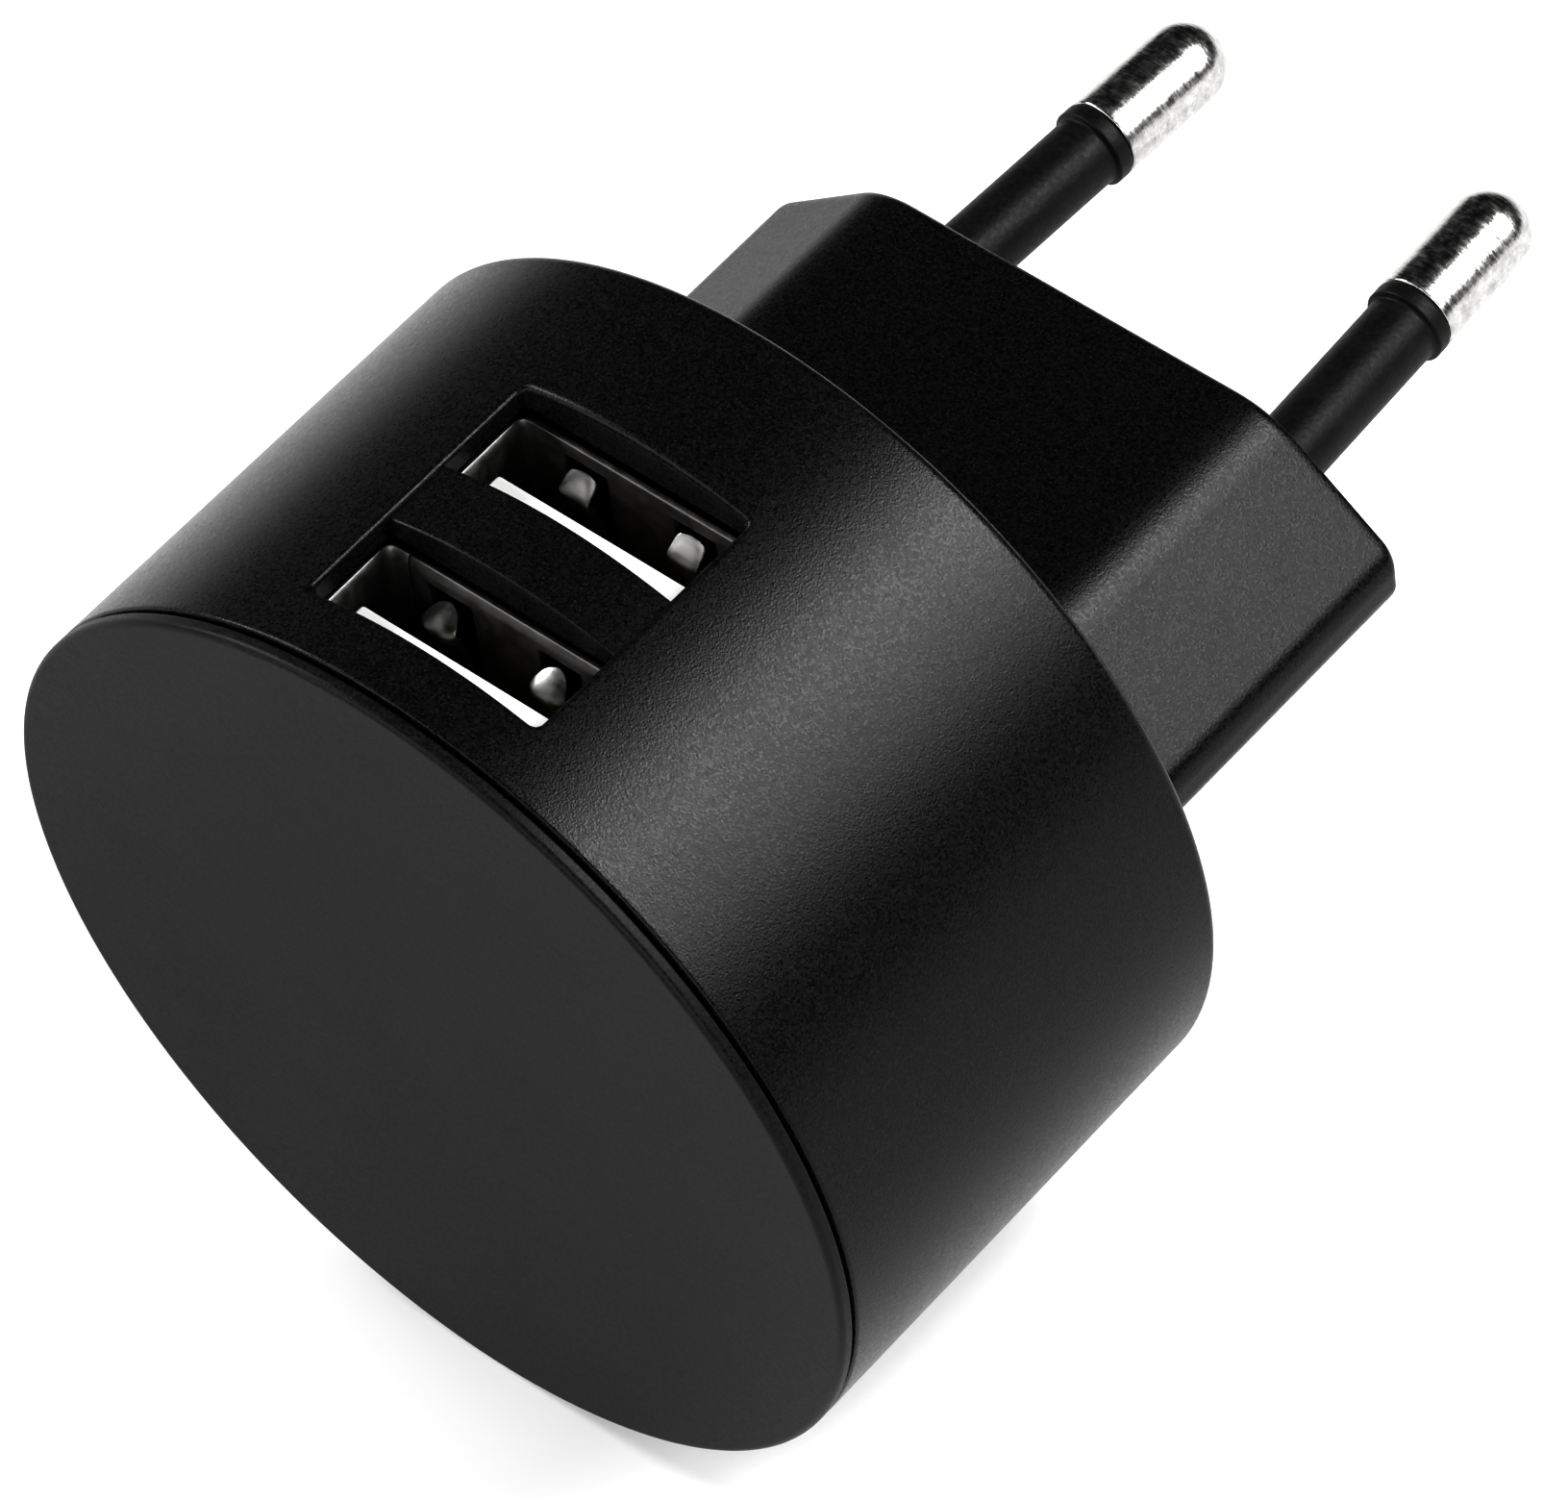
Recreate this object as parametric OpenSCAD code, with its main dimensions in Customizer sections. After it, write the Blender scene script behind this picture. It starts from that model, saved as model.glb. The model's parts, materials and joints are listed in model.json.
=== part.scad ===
// Plug-in wall charger with a round barrel, a two-pin mains plug and two charging sockets in its side.
// Origin: the centre of the plug's flat end face, between the pins. +Y runs out along the pins,
// +Z points out of the two sockets, -Y faces the user. Millimetres.

/* [Barrel] */
// Outside diameter of the barrel and of the front cover
barrel_d = 46; // [45.6:0.1:48]
// How much narrower the barrel is at its rear end (moulding draft)
barrel_draft = 0.36; // [0:0.04:0.6]
// Length of the barrel with the front cover on
barrel_len = 25.1; // [24.6:0.1:28]
// Wall thickness of the barrel
barrel_wall = 1.6; // [1.3:0.1:1.7]
// Thickness of the barrel's rear wall
rear_wall = 1.8; // [1.2:0.1:2]

/* [Front cover] */
// Thickness of the cover's rim outside the barrel
cover_rim = 0.7; // [0.5:0.1:1.2]
// Width of the open seam between cover and barrel
seam = 0.25; // [0.15:0.05:0.4]
// How far the cover's ring reaches into the barrel
spigot_len = 1.8; // [1.4:0.1:1.8]

/* [Plug block] */
// Length of the plug block behind the barrel
block_len = 19.1; // [16:0.1:24]
// Width of the plug block
block_w = 35.2; // [34:0.1:36.4]
// Thickness of the plug block
block_t = 13.5; // [12.8:0.1:14.2]
// Width of the block's flat top
block_flat = 21.2; // [19:0.1:24]
// Height of the block's narrow side
block_side = 2.3; // [1.6:0.1:3]
// Corner rounding of the block
block_round = 1.6; // [0.8:0.1:2.4]
// Wall thickness of the plug block
block_wall = 1.7; // [1.3:0.1:2]

/* [Pins] */
// Diameter of the bare pin ends
pin_d = 4; // [3.9:0.02:4.1]
// Pin length from the plug face
pin_len = 19.5; // [18.5:0.1:20]
// Distance between the pins at the plug face
pin_pitch = 19; // [18:0.1:19.2]
// Distance between the pins at their tips
pin_tip_pitch = 17.2; // [17:0.1:18]
// Length of the insulating sleeve from the plug face
sleeve_len = 12; // [10:0.1:12.4]
// Outside diameter of the sleeve between its collars
sleeve_d = 3.5; // [3.3:0.05:3.8]

/* [Sockets] */
// Width of the socket windows in the barrel
window_w = 12.46; // [12.2:0.02:12.9]
// Height of each socket window, along the barrel
window_h = 4.95; // [4.7:0.05:5.3]
// Distance between the two sockets, centre to centre
socket_pitch = 8.59; // [8.2:0.05:9]
// Distance from the front of the cover to the front socket's centre
socket_front = 6.05; // [6:0.05:6.6]
// Distance of the sockets' mouths below the top of the barrel
socket_sink = 2.85; // [2.8:0.05:3.4]
// Clear width inside a socket shell
socket_w = 12.5; // [12.4:0.05:12.7]
// Clear height inside a socket shell
socket_h = 5.12; // [5:0.02:5.3]
// Sheet thickness of a socket shell
shell_t = 0.3; // [0.25:0.05:0.35]
// Depth of the divider's top below the barrel's surface
divider_sink = 0.38; // [0.2:0.02:0.6]

/* [Tongue] */
// Thickness of the socket's tongue
tongue_t = 1.84; // [1.7:0.02:1.9]
// Width of the socket's tongue
tongue_w = 11.1; // [10.9:0.1:11.3]
// Distance of the tongue's front below the socket's mouth
tongue_sink = 0.65; // [0.4:0.05:1]

/* [Circuit board] */
// Height of the board's underside over the barrel's axis
board_z = 5; // [4.6:0.1:5.2]
// Thickness of the board
board_t = 1.2; // [1:0.1:1.3]
// Width of the board
board_w = 40.2; // [38:0.1:40.2]

/* [Transformer] */
// Width of the transformer core
core_w = 16.1; // [15:0.1:16.4]
// Length of the transformer core, along the barrel
core_len = 14.4; // [13:0.1:15]
// Thickness of the transformer core
core_t = 4.8; // [4.4:0.1:5.2]

/* [Hidden] */
$fn = 96;
eps = 0.02;

barrel_r = barrel_d / 2;
barrel_r_rear = barrel_r - barrel_draft / 2;
inner_r = barrel_r - barrel_wall;
cover_y = -(block_len + barrel_len);
barrel_y0 = cover_y + cover_rim + seam;
rear_y = -block_len;
cavity_y = rear_y - rear_wall;
rear_edge_r = 0.5;
cover_edge_r = 0.3;

// snap bead of the cover and its groove in the barrel
spigot_gap = 0.1;
spigot_t = 1;
plate_in = 0.6;
spigot_r = inner_r - spigot_gap;
bead = 0.3;
bead_w = 0.4;
bead_y = barrel_y0 + 1;
bead_gap = 0.12;

// sockets, front one first
front_y = cover_y + socket_front;
socket_y = [front_y, front_y + socket_pitch];
mouth_z = barrel_r - socket_sink;
shell_w = socket_w + 2 * shell_t;
shell_h = socket_h + 2 * shell_t;
shell_corner = 0.7;
seat_gap = 0.1;
board_top = board_z + board_t;
shell_z = board_top + seat_gap;
shell_len = mouth_z - shell_z;
relief_z = mouth_z + 0.65;
relief_side = 0.45;
relief_low = 2;
window_reach = 4;
// windows lean toward the plug side of each socket by this much
window_shift = 0.33;

// grip springs, pressed out of the long walls
finger_w = 1.6;
finger_x = 3;
finger_t = 0.25;
finger_root = 7.9;
finger_tip = 1.25;
finger_bulge = 0.42;
finger_slot = 0.38;
finger_root_gap = 0.1;
finger_seat = 0.02;
finger_bend = 0.74;
finger_flat = [0.5, 0.2];
finger_lead = 0.1;

// tongue and contacts
wall_gap_back = 0.7;
base_len = 3.6;
base_gap = 0.08;
contact_x = [-3.5, -1, 1, 3.5];
contact_w = 1;
contact_t = 0.2;
groove_w = 1.3;
groove_deep = 0.75;
contact_tip = 1.0;
contact_lift = 0.75;
contact_low = 0.35;
contact_bend = 0.72;

// pins
pin_lean = atan((pin_pitch - pin_tip_pitch) / 2 / pin_len);
pin_core_r = 1.25;
pin_tail = 9.6;
head_r = pin_d / 2 + 0.3;
head_t = 1.2;
collar_len = 1.6;
flange_len = 0.8;
boss_wall = 1.3;
boss_r = pin_d / 2 + boss_wall;
boss_len = 8.2;
fit_gap = 0.03;
boss_cover = 0.5;
// the leaning collars clear the plug face's holes by this much all along
mouth_gap = fit_gap + collar_len * tan(pin_lean);
mouth_len = 0.5;

// contact leaves between pins and board
leaf_t = 0.4;
leaf_w = 2.4;
leaf_inset = 0.6;
leaf_x = pin_pitch / 2 + pin_tail * tan(pin_lean) - leaf_inset;
leaf_y = -(pin_tail + seat_gap);
leaf_top = board_z - seat_gap;
leaf_room = 0.35;
leaf_run = block_t / 2 - block_wall - leaf_room;
leaf_bend = 0.4;
leaf_low = -1.6;
leaf_over = 1.7;

// board
board_y0 = barrel_y0 + spigot_len + 0.3;
board_y1 = cavity_y - 0.3;
rail_t = 1;
rail_gap = 0.12;
rail_in = 1.6;
rail_back = 1;
rail_sink = 0.4;

// parts under and on the board
part_gap = 0.1;
winding_w = 11;
winding_h = 11.6;
flange_t = 0.8;
core_wall = 2.1;
core_leg = 4.3;
core_side = 2.2;
core_air = 0.15;
bobbin_h = 12.4;
tube_t = 0.7;
transformer_y = (board_y0 + board_y1) / 2;
bobbin_drop = 0.5;
transformer_z = board_z - part_gap - bobbin_h / 2 - bobbin_drop;
pin_row = 2;
cap_r = 4;
cap_len = 12;
cap_space = 1.55;
cap_end = 2.4;
cap_pitch = 8.6;
cap_x = core_w / 2 + cap_space + cap_r;
chip_x = (shell_w / 2 + board_w / 2 - rail_in) / 2;
chip_end = 3.4;

// ---- helpers ----

// local +z runs along +Y from the given y
module along_y(y) {
  translate([0, y, 0])
    rotate([-90, 0, 0])
      children();
}

// a box centred on x and y, standing on z0
module slab(w, d, z0, z1) {
  translate([-w / 2, -d / 2, z0])
    cube([w, d, z1 - z0]);
}

function unit(v) = v / norm(v);
function edge_out(p, i) =
  let (n = len(p), d = unit(p[(i + 1) % n] - p[i]))
  [d[1], -d[0]];
// corner i of a counter-clockwise convex outline, moved in by r from both its edges
function inset_at(p, i, r) =
  let (
    n = len(p),
    a = edge_out(p, (i + n - 1) % n),
    b = edge_out(p, i)
  )
  p[i] - (a + b) * r / (1 + a * b);

// convex outline with true arcs at its corners
module rounded_outline(p, r) {
  n = len(p);
  polygon([
    for (i = [0 : n - 1], k = [0, 1])
      inset_at(p, i, r) + r * edge_out(p, (i + n - 1 + k) % n)
  ]);
  for (i = [0 : n - 1])
    translate(inset_at(p, i, r))
      circle(r, $fn = 48);
}

// the plug block's eight-sided section, drawn in x and z, taken in by m
side_share = 0.4;
function block_section(m) =
  let (
    w = block_w / 2 - m,
    h = block_t / 2 - m,
    slope = (block_t - block_side) / (block_w - block_flat),
    s = block_side / 2 + m * (slope - 1) * side_share,
    f = w - (h - s) / slope
  )
  [[w, -s], [w, s], [f, h], [-f, h], [-w, s], [-w, -s], [-f, -h], [f, -h]];

module block_solid(m, y0, y1, r) {
  along_y(y0)
    linear_extrude(y1 - y0)
      rounded_outline(block_section(m), r);
}

// pin frame: local +z runs out along the pin from the plug face; side is -1 or 1
module at_pin(side) {
  translate([side * pin_pitch / 2, 0, 0])
    rotate([0, 0, side * pin_lean])
      rotate([-90, 0, 0])
        children();
}

// socket frame: local z is the row's z, y is measured from the socket's centre
module at_socket(k) {
  translate([0, socket_y[k], 0])
    children();
}

// ---- housing ----

module barrel_profile() {
  difference() {
    polygon([
      [0, 0], [barrel_r, 0],
      [barrel_r_rear, barrel_len - cover_rim - seam],
      [0, barrel_len - cover_rim - seam]
    ]);
    // rounded rear edge
    translate([barrel_r_rear - rear_edge_r, barrel_len - cover_rim - seam - rear_edge_r])
      difference() {
        square(2 * rear_edge_r);
        circle(rear_edge_r, $fn = 32);
      }
  }
}

module window_box(k) {
  y0 = socket_y[k] - window_h / 2 + window_shift;
  translate([-window_w / 2, y0, mouth_z - window_reach])
    cube([window_w, window_h, barrel_r]);
}

module housing_shell() {
  color([0.03, 0.03, 0.032])
    difference() {
      union() {
        difference() {
          union() {
            along_y(barrel_y0)
              rotate_extrude($fn = 180)
                barrel_profile();
            block_solid(0, rear_y - 1, 0, block_round);
          }
          // inside of the barrel and of the block
          along_y(barrel_y0 - 1)
            cylinder(h = cavity_y - barrel_y0 + 1, r = inner_r, $fn = 180);
          block_solid(block_wall, cavity_y - 1, -block_wall, block_round);
          // groove for the cover's snap bead
          along_y(bead_y - bead_gap)
            cylinder(h = bead_w + 2 * bead_gap, r = spigot_r + bead + bead_gap, $fn = 180);
          // sunk top of the divider between the windows
          intersection() {
            translate([-window_w / 2, socket_y[0], 0])
              cube([window_w, socket_pitch, 2 * barrel_r]);
            difference() {
              along_y(socket_y[0])
                cylinder(h = socket_pitch, r = barrel_r + 1, $fn = 180);
              along_y(socket_y[0] - 1)
                cylinder(h = socket_pitch + 2, r = barrel_r - divider_sink, $fn = 180);
            }
          }
          for (k = [0, 1])
            window_box(k);
          // relief for the socket shells behind the windows
          translate([
            -(shell_w / 2 + relief_side),
            socket_y[0] - shell_h / 2 - relief_side,
            mouth_z - relief_low
          ])
            cube([
              shell_w + 2 * relief_side,
              socket_pitch + shell_h + 2 * relief_side,
              relief_z - mouth_z + relief_low
            ]);
        }
        board_rails();
        for (side = [-1, 1])
          at_pin(side)
            translate([0, 0, -boss_len])
              cylinder(h = boss_len - boss_cover, r = boss_r);
      }
      // bores that hold the pins' sleeves, a little wider at the face
      for (side = [-1, 1])
        at_pin(side) {
          translate([0, 0, -boss_len - 1])
            cylinder(h = boss_len + 3, r = pin_d / 2 + fit_gap);
          translate([0, 0, -mouth_len])
            cylinder(h = 2 * mouth_len, r = pin_d / 2 + mouth_gap);
        }
    }
}

module board_rails() {
  for (side = [-1, 1], z = [board_z - rail_gap - rail_t, board_top + rail_gap])
    intersection() {
      translate([side * (board_w / 2 - rail_in) - (side < 0 ? barrel_r : 0), board_y0 + rail_back, z])
        cube([barrel_r, cavity_y - board_y0, rail_t]);
      along_y(board_y0)
        cylinder(h = cavity_y - board_y0 + rail_back + rail_sink, r = inner_r + rail_sink, $fn = 180);
    }
}

module cover_profile() {
  difference() {
    square([barrel_r, cover_rim]);
    translate([barrel_r - cover_edge_r, cover_edge_r])
      difference() {
        translate([0, -2 * cover_edge_r])
          square(2 * cover_edge_r);
        circle(cover_edge_r, $fn = 32);
      }
  }
}

module front_cover() {
  plate_y = barrel_y0 + plate_in;
  color([0.05, 0.05, 0.053]) {
    along_y(cover_y)
      rotate_extrude($fn = 180)
        cover_profile();
    along_y(cover_y + cover_rim - eps)
      cylinder(h = plate_y - cover_y - cover_rim + eps, r = spigot_r, $fn = 180);
    difference() {
      union() {
        along_y(plate_y - eps)
          cylinder(h = barrel_y0 + spigot_len - plate_y + eps, r = spigot_r, $fn = 180);
        along_y(bead_y)
          cylinder(h = bead_w, r = spigot_r + bead, $fn = 180);
      }
      along_y(plate_y)
        cylinder(h = spigot_len + 1, r = spigot_r - spigot_t, $fn = 180);
    }
  }
}

// ---- pins ----

module pin_metal(side) {
  nose_z = pin_len / cos(pin_lean) - pin_d / 2;
  color([0.72, 0.71, 0.68])
    at_pin(side) {
      translate([0, 0, -pin_tail])
        cylinder(h = pin_tail + sleeve_len + eps, r = pin_core_r);
      translate([0, 0, -pin_tail])
        cylinder(h = head_t, r = head_r);
      translate([0, 0, sleeve_len])
        cylinder(h = nose_z - sleeve_len, r = pin_d / 2);
      translate([0, 0, nose_z])
        sphere(pin_d / 2);
    }
}

module pin_left() {
  pin_metal(-1);
}

module pin_right() {
  pin_metal(1);
}

module pin_sleeve(side) {
  back = pin_tail - head_t - fit_gap;
  color([0.02, 0.02, 0.022])
    at_pin(side)
      difference() {
        union() {
          translate([0, 0, -back])
            cylinder(h = back + collar_len, r = pin_d / 2);
          cylinder(h = sleeve_len - fit_gap, r = sleeve_d / 2);
          translate([0, 0, sleeve_len - fit_gap - flange_len])
            cylinder(h = flange_len, r = pin_d / 2);
        }
        translate([0, 0, -back - 1])
          cylinder(h = back + sleeve_len + 2, r = pin_core_r + fit_gap);
      }
}

module sleeve_left() {
  pin_sleeve(-1);
}

module sleeve_right() {
  pin_sleeve(1);
}

// bent brass strip from the pin's inner end to the underside of the board
module pin_leaf(side) {
  foot_y = board_y1 - leaf_over;
  bend_y = board_y1;
  color([0.75, 0.6, 0.3])
    translate([side * leaf_x - leaf_w / 2, 0, 0])
      rotate([90, 0, 90])
        linear_extrude(leaf_w)
          polygon([
            [leaf_y, leaf_low], [leaf_y, leaf_run],
            [bend_y, leaf_run], [bend_y - leaf_bend, leaf_top],
            [foot_y, leaf_top], [foot_y, leaf_top - leaf_t],
            [bend_y - leaf_bend, leaf_top - leaf_t], [bend_y, leaf_run - leaf_t],
            [leaf_y - leaf_t, leaf_run - leaf_t], [leaf_y - leaf_t, leaf_low]
          ]);
}

module pin_leaf_left() {
  pin_leaf(-1);
}

module pin_leaf_right() {
  pin_leaf(1);
}

// ---- board ----

leg_w = 2;
leg_gap = 0.2;
leg_low = 1;
leg_up = 0.5;
tail_r = 0.3;
tail_gap = 0.15;
tail_y = 0.5;
tail_low = 0.4;

module main_board() {
  color([0.05, 0.3, 0.12])
    difference() {
      translate([-board_w / 2, board_y0, board_z])
        cube([board_w, board_y1 - board_y0, board_t]);
      for (k = [0, 1])
        at_socket(k) {
          for (side = [-1, 1])
            translate([side * (shell_w - shell_t) / 2, 0, 0])
              slab(shell_t + 2 * leg_gap, leg_w + 2 * leg_gap, board_z - 1, board_top + 1);
          for (x = contact_x)
            translate([x, tail_y, board_z - 1])
              cylinder(h = board_t + 2, r = tail_r + tail_gap, $fn = 24);
        }
    }
}

// ---- sockets ----

module shell_outline(grow) {
  w = socket_w + 2 * grow;
  h = socket_h + 2 * grow;
  r = shell_corner - shell_t + grow;
  rounded_outline([
    [w / 2, -h / 2], [w / 2, h / 2], [-w / 2, h / 2], [-w / 2, -h / 2]
  ], r);
}

module socket_shell(k) {
  color([0.78, 0.78, 0.77])
    at_socket(k)
      difference() {
        union() {
          translate([0, 0, shell_z])
            linear_extrude(shell_len)
              shell_outline(shell_t);
          for (side = [-1, 1])
            translate([side * (shell_w - shell_t) / 2, 0, 0])
              slab(shell_t, leg_w, board_z - leg_low, shell_z + leg_up);
        }
        translate([0, 0, shell_z - 0.5])
          linear_extrude(shell_len + 1)
            shell_outline(0);
        // openings in both long walls around the springs
        for (x = [-finger_x, finger_x])
          translate([x, 0, 0])
            slab(
              finger_w + 2 * finger_slot, 2 * shell_h,
              mouth_z - finger_root, mouth_z - finger_tip + finger_slot
            );
      }
}

module socket_shell_rear() {
  socket_shell(1);
}

module socket_shell_front() {
  socket_shell(0);
}

base_side = 0.2;
groove_in = 0.3;
groove_over = 0.5;
tongue_y = -socket_h / 2 + wall_gap_back;
tongue_face = tongue_y + tongue_t;
base_top = shell_z + base_len;

module socket_tongue(k) {
  color([0.92, 0.92, 0.9])
    at_socket(k)
      difference() {
        union() {
          slab(
            socket_w - 2 * base_gap - 2 * base_side, socket_h - 2 * base_gap,
            shell_z + seat_gap / 2, base_top
          );
          translate([-tongue_w / 2, tongue_y, base_top - eps])
            cube([tongue_w, tongue_t, mouth_z - tongue_sink - base_top + eps]);
        }
        for (x = contact_x)
          translate([x - groove_w / 2, tongue_face - groove_deep, base_top - groove_in])
            cube([
              groove_w, socket_h,
              mouth_z - tongue_sink - contact_tip + groove_over - base_top
            ]);
      }
}

module socket_tongue_rear() {
  socket_tongue(1);
}

module socket_tongue_front() {
  socket_tongue(0);
}

// four sprung leaves lying in the tongue's grooves
module contact_set(k) {
  z0 = base_top;
  z1 = mouth_z - tongue_sink - contact_tip;
  bend = z0 + (z1 - z0) * contact_bend;
  low = tongue_face - groove_deep + contact_low;
  color([0.85, 0.68, 0.32])
    at_socket(k)
      for (x = contact_x)
        translate([x - contact_w / 2, 0, 0])
          rotate([90, 0, 90])
            linear_extrude(contact_w)
              polygon([
                [low, z0], [low + contact_t, z0],
                [tongue_face + contact_lift, bend],
                [tongue_face + contact_t, z1], [tongue_face, z1],
                [tongue_face + contact_lift - contact_t, bend - contact_t / 2]
              ]);
}

module contacts_rear() {
  contact_set(1);
}

module contacts_front() {
  contact_set(0);
}

module contact_tails(k) {
  color([0.8, 0.76, 0.66])
    at_socket(k)
      for (x = contact_x)
        translate([x, tail_y, board_z - tail_low])
          cylinder(h = board_t + tail_low + seat_gap / 2, r = tail_r, $fn = 24);
}

module contact_tails_rear() {
  contact_tails(1);
}

module contact_tails_front() {
  contact_tails(0);
}

// a pair of grip springs in one long wall; side 1 is the plug side, -1 the cover side
module grip_pair(k, side) {
  z0 = mouth_z - finger_root + finger_root_gap;
  z1 = mouth_z - finger_tip;
  bend = z0 + (z1 - z0) * finger_bend;
  y0 = socket_h / 2 + finger_seat;
  y_in = y0 - finger_bulge;
  y_lead = y0 - finger_lead;
  color([0.74, 0.74, 0.73])
    at_socket(k)
      for (x = [-finger_x, finger_x])
        intersection() {
          translate([x - finger_w / 2, 0, 0])
            rotate([90, 0, 90])
              linear_extrude(finger_w)
                polygon([
                  [side * (y0 + finger_t), z0], [side * y0, z0],
                  [side * y_in, bend - finger_flat[0]], [side * y_in, bend + finger_flat[1]],
                  [side * y_lead, z1], [side * (y_lead + finger_t), z1],
                  [side * (y_in + finger_t), bend + finger_flat[1]],
                  [side * (y_in + finger_t), bend - finger_flat[0]]
                ]);
          // rounded free end
          translate([x, shell_h, 0])
            rotate([90, 0, 0])
              linear_extrude(2 * shell_h) {
                translate([0, z1 - finger_w / 2])
                  circle(finger_w / 2, $fn = 48);
                translate([-finger_w / 2, z0 - 1])
                  square([finger_w, z1 - finger_w / 2 - z0 + 1]);
              }
        }
}

module grip_rear_plug_side() {
  grip_pair(1, 1);
}

module grip_rear_cover_side() {
  grip_pair(1, -1);
}

module grip_front_plug_side() {
  grip_pair(0, 1);
}

module grip_front_cover_side() {
  grip_pair(0, -1);
}

// ---- parts on the board ----

module at_transformer() {
  translate([0, transformer_y, transformer_z])
    children();
}

module transformer_core() {
  wx = (core_w - core_leg - 2 * core_side) / 2;
  color([0.12, 0.12, 0.13])
    at_transformer()
      difference() {
        slab(core_w, core_len, -core_t / 2, core_t / 2);
        for (side = [-1, 1])
          translate([side * (core_leg + wx) / 2, 0, 0])
            slab(wx, core_len - 2 * core_wall, -core_t, core_t);
      }
}

module transformer_bobbin() {
  len_y = core_len - 2 * core_wall - 2 * core_air;
  hole_w = core_leg + 2 * core_air;
  hole_t = core_t + 2 * core_air;
  wide = core_w - 2 * core_side - 2 * core_air;
  color([0.1, 0.09, 0.08])
    at_transformer()
      difference() {
        union() {
          slab(hole_w + 2 * tube_t, len_y, -hole_t / 2 - tube_t, hole_t / 2 + tube_t);
          for (side = [-1, 1])
            translate([0, side * (len_y - flange_t) / 2, 0])
              slab(wide, flange_t, -bobbin_h / 2, bobbin_h / 2);
          // pin blocks on the board side, outside the core's ends
          for (side = [-1, 1])
            translate([0, side * (len_y + pin_row) / 2, 0])
              slab(wide, pin_row, core_t / 2 + core_air, bobbin_h / 2);
        }
        slab(hole_w, 2 * core_len, -hole_t / 2, hole_t / 2);
      }
}

module transformer_winding() {
  len_y = core_len - 2 * core_wall - 2 * core_air - 2 * flange_t - part_gap;
  in_w = core_leg + 2 * core_air + 2 * tube_t + 2 * fit_gap;
  in_t = core_t + 2 * core_air + 2 * tube_t + 2 * fit_gap;
  color([0.85, 0.7, 0.1])
    at_transformer()
      difference() {
        slab(winding_w, len_y, -winding_h / 2, winding_h / 2);
        slab(in_w, 2 * core_len, -in_t / 2, in_t / 2);
      }
}

module transformer_pins() {
  len_y = core_len - 2 * core_wall - 2 * core_air;
  pitch = 3;
  pin_r = 0.35;
  color([0.7, 0.7, 0.68])
    at_transformer()
      for (side = [-1, 1], i = [-1.5 : 1 : 1.5])
        translate([i * pitch, side * (len_y + pin_row) / 2, bobbin_h / 2 + eps])
          cylinder(h = bobbin_drop + eps, r = pin_r, $fn = 24);
}

// an upright can hanging under the board, with the bead near its board end
module can_under(x, y, r, h) {
  bead_z = 1.6;
  bead_r = 0.4;
  bead_out = 0.15;
  translate([x, y, board_z - part_gap - h])
    difference() {
      cylinder(h = h, r = r, $fn = 64);
      translate([0, 0, h - bead_z])
        rotate_extrude($fn = 64)
          translate([r + bead_out, 0])
            circle(bead_r, $fn = 32);
    }
}

module mains_capacitor_rear() {
  color([0.08, 0.09, 0.16])
    can_under(-cap_x, board_y1 - cap_end - cap_r, cap_r, cap_len);
}

module mains_capacitor_front() {
  color([0.08, 0.09, 0.16])
    can_under(-cap_x, board_y1 - cap_end - cap_r - cap_pitch, cap_r, cap_len);
}

module output_capacitor() {
  color([0.1, 0.2, 0.12])
    can_under(cap_x, board_y1 - cap_end - cap_r - cap_pitch, cap_r, cap_len);
}

module safety_capacitor() {
  r = 4;
  t = 3.4;
  from_end = 6;
  color([0.15, 0.35, 0.7])
    translate([cap_x, board_y1 - from_end, board_z - part_gap - r])
      rotate([90, 0, 0])
        translate([0, 0, -t / 2])
          cylinder(h = t, r = r, $fn = 64);
}

module fuse_resistor() {
  r = 1.6;
  waist_r = 1.35;
  len_y = 7;
  end_len = 2;
  color([0.3, 0.55, 0.4])
    along_y(transformer_y - len_y / 2)
      translate([-chip_x, -(board_top + part_gap + r), 0]) {
        cylinder(h = len_y, r = waist_r, $fn = 48);
        cylinder(h = end_len, r = r, $fn = 48);
        translate([0, 0, len_y - end_len])
          cylinder(h = end_len, r = r, $fn = 48);
      }
}

// a small moulded chip on the board with a row of leads on two sides
module chip(x, y, w, d, h, leads) {
  pitch = 1.27;
  lead_w = 0.4;
  lead_t = 0.3;
  lead_out = 0.7;
  lead_in = 0.3;
  lift = 0.1;
  translate([x, y, board_top + part_gap]) {
    translate([-w / 2, -d / 2, lift])
      cube([w, d, h]);
    for (side = [-1, 1], i = [0 : leads - 1])
      translate([
        (i - (leads - 1) / 2) * pitch - lead_w / 2,
        side > 0 ? d / 2 - lead_in : -d / 2 - lead_out,
        0
      ])
        cube([lead_w, lead_in + lead_out, lead_t]);
  }
}

module bridge_rectifier() {
  color([0.04, 0.04, 0.04])
    chip(-chip_x, board_y1 - chip_end, 4.8, 3.9, 1.6, 2);
}

module power_controller() {
  color([0.04, 0.04, 0.04])
    chip(-chip_x, board_y0 + chip_end, 4.9, 3.9, 1.5, 4);
}

module output_diode() {
  color([0.04, 0.04, 0.04])
    chip(chip_x, board_y0 + chip_end, 4.6, 3.6, 1.4, 2);
}

choke_h = 6.4;
choke_r = 3.1;
choke_rim = 1;
choke_y = transformer_y + 1.2;
choke_inset = 0.35;

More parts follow.
